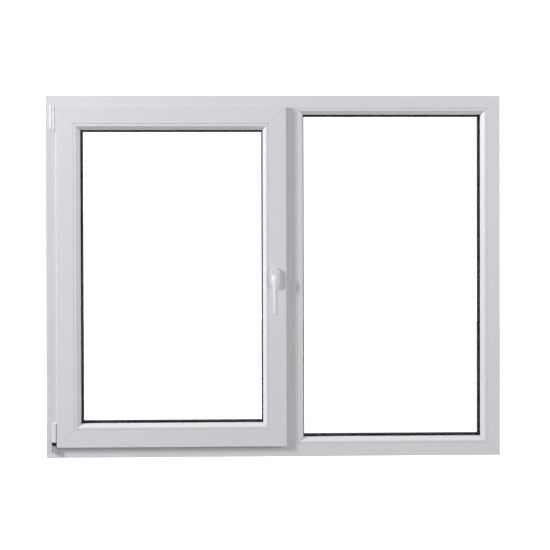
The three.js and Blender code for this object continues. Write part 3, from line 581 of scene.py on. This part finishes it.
FRAME_LENGTHS = {
    "left": "frame_left_jamb",
    "top": "frame_head",
    "right": "frame_right_jamb",
    "bottom": "frame_bottom_rail",
}


def frame_lengths():
    outline, chambers = frame_outline(), frame_chambers()
    for side, node in FRAME_LENGTHS.items():
        build = mitred_length(outline, chambers, frame_rect, side)
        finish(build, node + "_profile", "white_plastic", "frame", [node])


def mullion():
    """The T section between the lights, its outer lips coped over the frame's."""
    lo, hi = box_mm("mullion")
    middle = (lo.x + hi.x) / 2
    half, wide = FRAME_FACE / 2, (hi.x - lo.x) / 2
    lip_y = BACK - FRAME_LIP_THICKNESS
    cope_y = lip_y - COPE_GAP
    cope = FRAME_LIP + COPE_GAP
    section = rounded([
        (-half, FRONT, 1.2),
        (half, FRONT, 1.2),
        (half, lip_y, 0.8),
        (wide, lip_y, 1.2),
        (wide, BACK, 1.6),
        (-wide, BACK, 1.6),
        (-wide, lip_y, 1.2),
        (-half, lip_y, 0.8),
    ])
    stem = [Vector((max(-half, min(half, p.x)), min(cope_y, p.y))) for p in section]
    first, steel = FRONT + WALL + FRONT_CHAMBER, lip_y - STEEL_STOP
    chambers = [
        rectangle(WALL - half, half - WALL, FRONT + WALL, first),
        rectangle(WALL - half, half - WALL, first + WALL, steel),
    ]
    build = Build()

    def ring(points, z):
        return build.ring(Vector((middle + p.x, p.y, z)) for p in points)

    z0, z1 = lo.z, hi.z
    skins = [
        ring(stem, z0),
        ring(stem, z0 + cope),
        ring(section, z0 + cope),
        ring(section, z1 - cope),
        ring(stem, z1 - cope),
        ring(stem, z1),
    ]
    for a, b in zip(skins, skins[1:]):
        build.skin(a, b)
    near, far = [], []
    for chamber in chambers:
        a, b = ring(chamber, z0), ring(chamber, z1)
        build.skin(a, b)
        near.append(a)
        far.append(b)
    build.cap(skins[0], *near)
    build.cap(skins[-1], *far)
    finish(build, "mullion_profile", "white_plastic", "frame", ["mullion"])


# ---------- sash ----------

sash_rect = rect_of("sash_hinge_stile", "sash_lock_stile", "sash_bottom_rail", "sash_top_rail")
sash_rect = tuple(round(v, 1) for v in sash_rect)
sash_lo, sash_hi = box_mm("sash_hinge_stile")
SASH_FRONT, SASH_BACK = sash_lo.y, sash_hi.y


def sash_outline():
    lip_y = SASH_BACK - SASH_LIP_THICKNESS
    flange_y = SASH_FRONT + SASH_FLANGE
    shoulder = SASH_BODY + GROOVE_DEPTH
    floor = shoulder + ROD_GROOVE_DEPTH
    half, rod = GROOVE / 2, ROD_GROOVE / 2
    return rounded([
        (0, SASH_FRONT, 2.2),
        (SASH_FACE, SASH_FRONT, 1.0),
        (SASH_FACE, lip_y, 0.6),
        (SASH_FACE + SASH_LIP, lip_y, 1.0),
        (SASH_FACE + SASH_LIP, SASH_BACK, 1.6),
        (SASH_BODY, SASH_BACK, 1.2),
        (SASH_BODY, GROOVE_Y + half, 0.4),
        (shoulder, GROOVE_Y + half, 0.3),
        (shoulder, GROOVE_Y + rod, 0.3),
        (floor, GROOVE_Y + rod, 0.3),
        (floor, GROOVE_Y - rod, 0.3),
        (shoulder, GROOVE_Y - rod, 0.3),
        (shoulder, GROOVE_Y - half, 0.3),
        (SASH_BODY, GROOVE_Y - half, 0.4),
        (SASH_BODY, flange_y, 0.8),
        (0, flange_y, 1.6),
    ])


def sash_chambers():
    lip_y = SASH_BACK - SASH_LIP_THICKNESS
    flange_y = SASH_FRONT + SASH_FLANGE
    v1 = SASH_FACE - WALL
    first = GROOVE_Y - GROOVE / 2 - 2 * WALL
    deep = SASH_BODY + GROOVE_DEPTH + ROD_GROOVE_DEPTH + WALL
    return [
        rectangle(WALL, SASH_BODY - WALL, SASH_FRONT + WALL, flange_y - WALL),
        rectangle(SASH_BODY + WALL, v1, SASH_FRONT + WALL, first),
        rectangle(deep, v1, first + WALL, lip_y - WALL),
        rectangle(SASH_BODY + WALL, v1, lip_y, SASH_BACK - WALL),
        rectangle(v1 + WALL, SASH_FACE + SASH_LIP - WALL, lip_y + WALL, SASH_BACK - WALL),
    ]


SASH_LENGTHS = {
    "left": "sash_hinge_stile",
    "top": "sash_top_rail",
    "right": "sash_lock_stile",
    "bottom": "sash_bottom_rail",
}


def sash_lengths():
    outline, chambers = sash_outline(), sash_chambers()
    for side, node in SASH_LENGTHS.items():
        build = mitred_length(outline, chambers, sash_rect, side)
        finish(build, node + "_profile", "white_plastic", "sash", [node])


# ---------- beads, gaskets, glass ----------

def bead_outline(height, front, back):
    """A sunk joint, a short flat, a soft shoulder, the bevel and a rounded edge over the gasket."""
    return rounded([
        (BEAD_START, front + BEAD_SINK, 0.9),
        (BEAD_FLAT, front, 3.2),
        (height, front + BEAD_DROP, 1.2),
        (height, back, 0.5),
        (BEAD_START, back, 0.4),
    ], 5)


def beads(prefix, rebate, body):
    for side in SIDE_AXES:
        node = f"{prefix}_bead_{side}"
        lo, hi = box_mm(node)
        height = min(hi.x - lo.x, hi.z - lo.z) + BEAD_START
        build = mitred_length(bead_outline(height, lo.y, hi.y), [], rebate, side, BEAD_GROOVE)
        finish(build, node + "_profile", "white_plastic", body, [node])


def ring_section(width, y0, y1, lip):
    """A gasket's section: a flat foot and a rounded lip at its inner edge."""
    thick = y1 - y0
    r = min(thick, width) * 0.3
    return rounded([
        (0, y0, r * 0.5),
        (width - lip / 2, y0, r),
        (width, y0 + thick * 0.35, r * 0.6),
        (width, y1 - thick * 0.1, r * 0.6),
        (width - lip, y1, r * 0.5),
        (0, y1, r * 0.5),
    ], 3)


def gasket(node, body):
    lo, hi = box_mm(node)
    section = ring_section(GASKET_WIDTH, lo.y, hi.y, GASKET_LIP)
    build = ring_loop(section, (lo.x, hi.x, lo.z, hi.z))
    finish(build, node + "_lip", "black_rubber", body, [node])


frame_lengths()
mullion()
sash_lengths()
sash_rebate = inset(sash_rect, SASH_FACE)
mullion_lo, mullion_hi = box_mm("mullion")
fixed_rebate = (
    (mullion_lo.x + mullion_hi.x) / 2 + FRAME_FACE / 2,
    frame_rect[1] - FRAME_FACE,
    frame_rect[2] + FRAME_FACE,
    frame_rect[3] - FRAME_FACE,
)
beads("sash", sash_rebate, "sash")
beads("fixed", fixed_rebate, "frame")
for light, body in (("sash", "sash"), ("fixed", "frame")):
    gasket(light + "_outer_gasket", body)
    gasket(light + "_inner_gasket", body)


# ---------- round and moulded pieces ----------

def axis_of(node):
    lo, hi = box_mm(node)
    return (lo.x + hi.x) / 2, (lo.y + hi.y) / 2


def lathe(points, centre, build=None, steps=40):
    """A turned piece from its half outline of (radius, height), bottom to top, closed on its axis."""
    build = build or Build()
    cx, cy = centre
    rings = []
    for radius, height in points:
        if radius <= 0:
            rings.append([build.bm.verts.new(Vector((cx, cy, height)))] * steps)
            continue
        rings.append([
            build.bm.verts.new(Vector((
                cx + radius * math.cos(2 * math.pi * k / steps),
                cy + radius * math.sin(2 * math.pi * k / steps),
                height,
            )))
            for k in range(steps)
        ])
    for a, b in zip(rings, rings[1:]):
        for k in range(steps):
            j = (k + 1) % steps
            corners = [a[k], a[j], b[j], b[k]]
            corners = [v for i, v in enumerate(corners) if v is not corners[i - 1]]
            if len(corners) > 2:
                build.bm.faces.new(corners)
    return build


def softened(points, radius, steps=3):
    """A half outline with every inner corner rounded."""
    out = [points[0]]
    for before, here, after in zip(points, points[1:], points[2:]):
        p, a, b = Vector(here), Vector(before), Vector(after)
        reach = min(radius, (a - p).length * 0.45, (b - p).length * 0.45)
        start, end = p + (a - p).normalized() * reach, p + (b - p).normalized() * reach
        for k in range(steps + 1):
            t = k / steps
            q = start * (1 - t) ** 2 + p * (2 * t * (1 - t)) + end * t ** 2
            out.append((q.x, q.y))
    out.append(points[-1])
    return out


def puffed(build, outline, z0, z1, radius, place, steps=4, bottom=None):
    """A prism with rounded upper and lower edges; place turns (x, y, z) into a point."""
    bottom = radius if bottom is None else bottom
    rings = []

    def level(z, d):
        rings.append(build.ring(place(p.x, p.y, z) for p in shrunk(outline, d)))

    for k in range(steps + 1):
        a = math.pi / 2 * k / steps
        level(z0 + bottom * (1 - math.cos(a)), bottom * (1 - math.sin(a)))
    for k in range(steps + 1):
        a = math.pi / 2 * k / steps
        level(z1 - radius * (1 - math.sin(a)), radius * (1 - math.cos(a)))
    for a, b in zip(rings, rings[1:]):
        build.skin(a, b)
    build.cap(rings[0])
    build.cap(rings[-1])
    return build


def upright(cx, cy):
    return lambda x, y, z: Vector((cx + x, cy + y, z))


COLUMN_RADIUS = 5.2
COLUMN_STEPS = 24
COLUMN_WEB = 2.0  # half the web's width
SCREW_COLUMN_X = -9.5
SCREW_COLUMN_RADIUS = 4.6
SCREW_DOME_FOOT = 4  # this and the next are measured down from the top of the stay's cap
SCREW_DOME_TOP = 0.4
SCREW_DOME_RISE = 3.6  # height of the dome's arc


def two_columns(r1, r2, spread, web):
    """Two round columns, r1 at 0 and r2 at spread, with a web between them."""
    a1 = math.asin(web / r1)
    a2 = math.asin(web / r2)
    right = [
        Vector((r1 * math.cos(t), r1 * math.sin(t)))
        for t in (-math.pi + a1 + (2 * math.pi - 2 * a1) * k / COLUMN_STEPS for k in range(COLUMN_STEPS + 1))
    ]
    left = [
        Vector((spread + r2 * math.cos(t), r2 * math.sin(t)))
        for t in (a2 + (2 * math.pi - 2 * a2) * k / COLUMN_STEPS for k in range(COLUMN_STEPS + 1))
    ]
    return right + left


def upper_hinge():
    """The frame's side of the upper hinge: two white columns, the outer one rising beside the stay's cap."""
    cx, cy = axis_of("stay_pin")
    cover_lo, cover_hi = box_mm("stay_bearing_cover")
    cap_top = box_mm("stay_arm_cap")[1].z
    build = Build()
    outline = two_columns(COLUMN_RADIUS, SCREW_COLUMN_RADIUS, SCREW_COLUMN_X, COLUMN_WEB)
    puffed(build, outline, cover_lo.z, cover_hi.z, 0.7, upright(cx, cy))
    foot, dome_foot = cover_hi.z - 1, cap_top - SCREW_DOME_FOOT
    points = [(0, foot), (SCREW_COLUMN_RADIUS, foot), (SCREW_COLUMN_RADIUS, dome_foot)]
    points += [
        (SCREW_COLUMN_RADIUS * math.cos(a), dome_foot + SCREW_DOME_RISE * math.sin(a))
        for a in (math.pi / 2 * k / 6 for k in range(1, 6))
    ]
    points.append((0, cap_top - SCREW_DOME_TOP))
    lathe(points, (cx + SCREW_COLUMN_X, cy), build)
    finish(build, "stay_bearing_hood", "cover_plastic", "frame", ["stay_bearing_cover"])


STAY_CAP_GROOVE = 0.5


def stay_cap():
    """The stay arm's cap: a rounded hood with a parting ring near its foot."""
    cx, cy = axis_of("stay_pin")
    lo, hi = box_mm("stay_arm_cap")
    r = COLUMN_RADIUS
    groove = r - STAY_CAP_GROOVE
    points = [
        (0, lo.z),
        (r - 0.6, lo.z),
        (r, lo.z + 0.6),
        (r, lo.z + 2.4),
        (groove, lo.z + 2.7),
        (groove, lo.z + 3.2),
        (r, lo.z + 3.5),
        (r, hi.z - 5),
        (r * 0.86, hi.z - 2.2),
        (r * 0.5, hi.z - 0.5),
        (0, hi.z - 0.1),
    ]
    build = lathe(softened(points, 0.8), (cx, cy))
    finish(build, "stay_cap_hood", "cover_plastic", "stay", ["stay_arm_cap"])


PIN_CAP_RADIUS = 4.7


def pin_cap():
    """A white cap pressed over the head of the upper hinge pin."""
    cx, cy = axis_of("stay_pin")
    foot = box_mm("stay_pin")[0].z
    top = box_mm("stay_bearing_cover")[0].z - 0.5
    r = PIN_CAP_RADIUS
    points = [
        (0, foot - 0.4),
        (r * 0.45, foot - 0.2),
        (r * 0.85, foot + 1.6),
        (r, foot + 3.6),
        (r, top),
        (0, top),
    ]
    finish(lathe(softened(points, 0.9), (cx, cy)), "stay_pin_cap", "cover_plastic", "hinge_pins")


FLUTES = (203, 226, 249, 272)  # where the lower cover is fluted, in degrees round the hinge axis
FLUTE_HALF = 5.5
FLUTE_DEPTH = 0.75
FLUTE_SHARPNESS = 1.3
COVER_STEP = 3  # degrees
COVER_STEPS = 72
FLAT_START = -2.0  # where the flat side starts, along the depth from the hinge axis


def lower_cover():
    """The lower hinge's moulded cover: an upright half-round with flutes, flat towards the sash."""
    cx, cy = axis_of("stay_pin")
    lo, hi = box_mm("corner_hinge_cover")
    reach = cx - lo.x
    flat = hi.x - cx - 0.05
    back = hi.y - cy
    outline = []
    for k in range(COVER_STEPS + 1):
        degrees = 90 + COVER_STEP * k
        flute = sum(max(0.0, 1 - abs(degrees - middle) / FLUTE_HALF) for middle in FLUTES)
        r = reach - FLUTE_DEPTH * min(1.0, flute * FLUTE_SHARPNESS)
        a = math.radians(degrees)
        outline.append(Vector((r * math.cos(a), r * math.sin(a))))
    outline = [Vector((min(p.x, flat), min(p.y, back))) for p in outline]
    outline.append(Vector((flat, FLAT_START)))
    outline.append(Vector((flat, back)))
    build = Build()
    puffed(build, outline, lo.z, hi.z, 0.8, upright(cx, cy), bottom=0.4)
    finish(build, "corner_hinge_hood", "cover_plastic", "sash", ["corner_hinge_cover"])


BUSH_WALL = 0.2
BUSH_FOOT = 8.5  # the sleeve's height
BUSH_SHADE_LIP_FOOT = 16  # and that of its lip beside the sash, a dark sheet painting the shade in the gap
BUSH_SHADE_LIP_START = 2.6


def corner_bush_and_shade():
    """A black sleeve round the top of the lower bearing, partly a bush and partly painted shade round the
    ball, which runs down as a lip beside the sash, a dark sheet painting the shade in the gap there.
    """
    cx, cy = axis_of("corner_pivot_pin")
    lo, hi = box_mm("corner_bearing")
    radius = hi.x - cx + BUSH_WALL
    second = min(radius, hi.y - cy) - 0.4
    outer = two_columns(radius, second, lo.x - cx + second, COLUMN_WEB)
    inner = shrunk(outer, BUSH_WALL)
    build = Build()
    loops = []
    for outline, top in ((outer, False), (outer, True), (inner, True), (inner, False)):
        ring = []
        for p in outline:
            # the side towards the sash reaches further down, as a dark sheet painting the shade in the gap
            # beside the sash
            foot = BUSH_SHADE_LIP_FOOT if p.x > BUSH_SHADE_LIP_START else BUSH_FOOT
            ring.append(Vector((cx + p.x, cy + p.y, hi.z + 0.1 if top else hi.z - foot)))
        loops.append(build.ring(ring))
    for a, b in zip(loops, loops[1:] + loops[:1]):
        build.skin(a, b)
    finish(build, "corner_bearing_bush_and_shade", "black_rubber", "frame")


PIVOT_BALL = 4.0
PIVOT_NECK = 2.4
PIVOT_SHAFT = 2.2
PIVOT_COLLAR_DROP = 5  # from the foot of the ball to the top of the collar
PIVOT_COLLAR_HEIGHT = 5.5


def pivot_pin():
    """The lower hinge's pin: a shaft, a collar and the ball the sash stands on."""
    cx, cy = axis_of("corner_pivot_pin")
    lo, hi = box_mm("corner_pivot_pin")
    ball, neck, shaft = PIVOT_BALL, PIVOT_NECK, PIVOT_SHAFT
    centre = hi.z - ball
    collar = (hi.x - lo.x) / 2
    top = centre - ball - PIVOT_COLLAR_DROP
    foot = top - PIVOT_COLLAR_HEIGHT
    start = math.asin(neck / ball) - math.pi / 2
    points = [(0, lo.z), (shaft, lo.z), (shaft, foot), (collar, foot), (collar, top), (neck, top)]
    points = softened(points + [(neck, centre + ball * math.sin(start))], 0.5)
    points += [
        (ball * math.cos(a), centre + ball * math.sin(a))
        for a in (start + (math.pi / 2 - start) * k / 14 for k in range(1, 14))
    ]
    build = lathe(points + [(0, hi.z)], (cx, cy))
    finish(build, "corner_pivot_pin_turned", "zinc_plated_steel", "hinge_pins", ["corner_pivot_pin"])


ROSETTE_CORNER = 14.5
ROSETTE_EDGE = 2.4
ROSETTE_STEP = 1.2  # how far the raised face stays inside the soft edge


def rosette():
    """The handle's base: a long plate with round ends, a soft edge and a face crowned by a low step."""
    lo, hi = box_mm("handle_rosette")
    cx, cz = (lo.x + hi.x) / 2, (lo.z + hi.z) / 2
    half_x, half_z = (hi.x - lo.x) / 2, (hi.z - lo.z) / 2
    corners = [(-half_x, -half_z), (half_x, -half_z), (half_x, half_z), (-half_x, half_z)]
    outline = rounded([(*corner, ROSETTE_CORNER) for corner in corners], 12)
    front, back = lo.y, hi.y

    def place(x, z, depth):
        return Vector((cx + x, -depth, cz + z))

    build = puffed(Build(), outline, -back, -front - 0.5, ROSETTE_EDGE, place, 6, bottom=0.3)
    puffed(build, shrunk(outline, ROSETTE_EDGE + ROSETTE_STEP), -front - 1.5, -front, 0.4, place, 3)
    finish(build, "handle_rosette_plate", "white_lacquer", "sash", ["handle_rosette"])


LEVER_HEAD = 13.5
# depth below the lever's axis, its width there, and its front and back, measured out from the rosette
LEVER_STATIONS = [
    (-13.4, 8.0, 22.0, 10.0),
    (-12.9, 13.6, 25.5, 6.0),
    (-11.5, 18.6, 29.5, 3.0),
    (-9.0, 22.8, 33.0, 1.0),
    (-5.5, 25.6, 36.0, 0.4),
    (-1.5, 26.8, 38.0, 0.4),
    (2.5, 26.4, 39.3, 0.4),
    (6.5, 24.8, 40.0, 3.0),
    (11.0, 22.6, 40.4, 8.5),
    (16.0, 20.8, 40.6, 15.0),
    (22.0, 19.3, 40.6, 21.0),
    (29.0, 18.1, 40.5, 25.5),
    (42.0, 16.8, 40.4, 28.2),
    (60.0, 15.6, 40.2, 29.2),
    (82.0, 14.4, 39.9, 29.6),
    (104.0, 13.4, 39.6, 29.8),
    (113.0, 13.0, 39.4, 29.9),
    (115.8, 12.4, 38.9, 30.3),
    (117.0, 11.2, 38.0, 31.2),
    (117.5, 8.5, 36.8, 32.4),
]
LEVER_CROWN = 3.4
LEVER_SQUARENESS = 0.75  # below one, an oval fills its corners


def lever_ring(build, cx, face, height, width, front, back, steps=44):
    """A flattened oval with a softly ridged crown towards the room."""
    half, middle, thick = width / 2, (front + back) / 2, (front - back) / 2
    crown = min(0.6 * thick, LEVER_CROWN)
    points = []
    for k in range(steps):
        a = 2 * math.pi * k / steps
        c, s = math.cos(a), math.sin(a)
        x = half * math.copysign(abs(c) ** LEVER_SQUARENESS, c)
        out = thick * math.copysign(abs(s) ** LEVER_SQUARENESS, s)
        if s > 0:
            out = (thick - crown) * abs(s) ** 0.6 + crown * (1 - abs(x / half) ** 1.35)
        points.append(Vector((cx + x, face - middle - out, height)))
    return build.ring(points)


def lever():
    """The handle: a round head on the rosette that bends into a tapering grip with a soft ridge."""
    lo, hi = box_mm("handle_lever")
    cx, axis = (lo.x + hi.x) / 2, hi.z - LEVER_HEAD
    face = box_mm("handle_rosette")[0].y - 0.3
    scale = (axis - lo.z) / LEVER_STATIONS[-1][0]
    reach = (face - lo.y) / max(station[2] for station in LEVER_STATIONS)
    build = Build()
    rings = []
    for depth, width, front, back in LEVER_STATIONS:
        height = axis - depth * (scale if depth > 0 else 1)
        rings.append(lever_ring(build, cx, face, height, width, front * reach, back * reach))
    for a, b in zip(rings, rings[1:]):
        build.skin(a, b)
    build.cap(rings[0])
    build.cap(rings[-1])
    finish(build, "handle_lever_grip", "white_lacquer", "handle", ["handle_lever"], smooth=50)


upper_hinge()
stay_cap()
pin_cap()
lower_cover()
corner_bush_and_shade()
pivot_pin()
rosette()
lever()


# ---------- the CAD pieces that stay ----------

KEPT = {
    "galvanised_steel": ["_steel"],
    "spacer_black": ["_spacer"],
    "clear_glass": ["_pane"],
    "black_rubber": ["_seal", "_gasket"],
    "cover_plastic": ["drain_cap", "_cover", "stay_arm_cap"],
    "white_lacquer": ["handle_lever", "handle_rosette"],
    "white_plastic": ["jamb", "head", "rail", "stile", "bead", "mullion"],
}


def slot_of(node):
    for slot, marks in KEPT.items():
        if any(node.endswith(m) or (not m.startswith("_") and m in node) for m in marks):
            return slot
    return "zinc_plated_steel"


KEPT_EDGE = 0.0003  # metres; the width of a kept piece's bevel
KEPT_EDGE_ANGLE = 40


def finish_kept_nodes():
    for name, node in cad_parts.items():
        slot = slot_of(name)
        node.data.materials.clear()
        node.data.materials.append(MATERIALS[slot])
        if node.hide_render:
            continue
        edge = node.modifiers.new("edge", "BEVEL")
        edge.width = KEPT_EDGE
        edge.segments = 2
        edge.limit_method = "ANGLE"
        edge.angle_limit = math.radians(KEPT_EDGE_ANGLE)
        edge.harden_normals = False


finish_kept_nodes()


# ---------- room ----------

CAMERA = {
    "place": (-0.06, -3.4, 0.76),
    "pitch": -0.00915,
    "roll": 0.00254,
    "yaw": -0.02056,
    "lens": 66.74,
    "shift": (-0.003, -0.0708),
}
PAPER_GLOW = 1.3
# radius of the flat floor and of the curve, height of the wall, steps of the curve, sides all round
FLOOR, CURVE, WALL_TOP, CURVE_STEPS, TURNS = 10.0, 2.0, 9.0, 12, 64
FLOOR_DROP = 0.0005  # the floor lies this far under the window

LIGHTS_AIM = (0.0, 0.0, 0.6)
# size in metres, power in watts
KEY_LIGHT = {"place": (-4.25, -1.85, 2.6), "size": (0.8, 1.5), "power": 232, "colour": (0.96, 0.975, 1.0)}
FILL_LIGHT = {"place": (4.1, -2.2, 1.3), "size": (1.2, 0.9), "power": 84, "colour": (1.0, 0.97, 0.965)}
WORLD_COLOUR = (0.985, 0.98, 1.0, 1)
WORLD_STRENGTH = 0.485
PATCH_COLOUR = (0.04, 0.04, 0.04, 1)
PATCH_DARK = 22  # degrees from straight in front up to which the patch has its full darkness
PATCH_END = 34


def camera():
    data = bpy.data.cameras.new("camera")
    data.sensor_width = 36
    data.lens = CAMERA["lens"]
    data.shift_x, data.shift_y = CAMERA["shift"]
    made = bpy.data.objects.new("camera", data)
    bpy.context.scene.collection.objects.link(made)
    turn = (
        Matrix.Rotation(CAMERA["yaw"], 4, "Z")
        @ Matrix.Rotation(CAMERA["pitch"], 4, "X")
        @ Matrix.Rotation(CAMERA["roll"], 4, "Y")
        @ Matrix.Rotation(math.radians(90), 4, "X")
    )
    made.matrix_world = Matrix.Translation(CAMERA["place"]) @ turn
    bpy.context.scene.camera = made


def backdrop():
    """A pale round floor that curves up into a wall on every side."""
    n = Nodes("paper")
    fibre = n.noise(n.place((1, 1, 1)), 90, 4)
    tone = n.ramp(fibre, (0.3, (0.93, 0.93, 0.935)), (0.7, (0.96, 0.96, 0.962)))
    n.link(tone, n.shader.inputs["Base Color"])
    n.link(n.span(fibre, 0.8, 0.95), n.shader.inputs["Roughness"])
    n.set(Emission_Color=(1, 1, 1, 1), Emission_Strength=PAPER_GLOW)
    profile = [(FLOOR * 0.5, 0.0), (FLOOR, 0.0)]
    for k in range(1, CURVE_STEPS + 1):
        a = math.pi / 2 * k / CURVE_STEPS
        profile.append((FLOOR + CURVE * math.sin(a), CURVE - CURVE * math.cos(a)))
    profile.append((FLOOR + CURVE, WALL_TOP))
    bm = bmesh.new()
    turns = [2 * math.pi * k / TURNS for k in range(TURNS)]
    rows = [
        [bm.verts.new((r * math.cos(t), r * math.sin(t), z - FLOOR_DROP)) for t in turns]
        for r, z in profile
    ]
    bm.faces.new(rows[0])
    for a, b in zip(rows, rows[1:]):
        for k in range(TURNS):
            j = (k + 1) % TURNS
            bm.faces.new((a[k], a[j], b[j], b[k]))
    mesh = bpy.data.meshes.new("backdrop")
    bm.to_mesh(mesh)
    bm.free()
    mesh.shade_smooth()
    mesh.materials.append(n.material)
    made = bpy.data.objects.new("backdrop", mesh)
    bpy.context.scene.collection.objects.link(made)
    made.visible_diffuse = False
    made.visible_glossy = False
    made.visible_shadow = False
    made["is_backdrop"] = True


def area_light(name, place, size, power, colour):
    data = bpy.data.lights.new(name, "AREA")
    data.shape = "RECTANGLE"
    data.size, data.size_y = size
    data.energy = power
    data.color = colour
    made = bpy.data.objects.new(name, data)
    bpy.context.scene.collection.objects.link(made)
    made.location = place
    aim = Vector(LIGHTS_AIM) - Vector(place)
    made.rotation_euler = aim.to_track_quat("-Z", "Y").to_euler()


def studio_world():
    """A soft even room light, dark straight in front of the window so that the glass stays black."""
    world = bpy.data.worlds.new("studio")
    bpy.context.scene.world = world
    world.use_nodes = True
    tree = world.node_tree
    shade = tree.nodes["Background"]
    coords = tree.nodes.new("ShaderNodeTexCoord")
    apart = tree.nodes.new("ShaderNodeVectorMath")
    apart.operation = "DOT_PRODUCT"
    apart.inputs[1].default_value = (0.0, -1.0, 0.0)
    ramp = tree.nodes.new("ShaderNodeValToRGB")
    open_end, dark_end = ramp.color_ramp.elements
    open_end.position, open_end.color = math.cos(math.radians(PATCH_END)), WORLD_COLOUR
    dark_end.position, dark_end.color = math.cos(math.radians(PATCH_DARK)), PATCH_COLOUR
    tree.links.new(coords.outputs["Generated"], apart.inputs[0])
    tree.links.new(apart.outputs["Value"], ramp.inputs["Fac"])
    tree.links.new(ramp.outputs["Color"], shade.inputs["Color"])
    shade.inputs["Strength"].default_value = WORLD_STRENGTH


def lights():
    area_light("key", **KEY_LIGHT)
    area_light("fill", **FILL_LIGHT)
    studio_world()


camera()
backdrop()
lights()
bpy.context.scene.view_settings.view_transform = "Standard"

boxes = {"cad": CAD_BOX, "visual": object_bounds()}
{key: [list(corner) for corner in box] for key, box in boxes.items()}
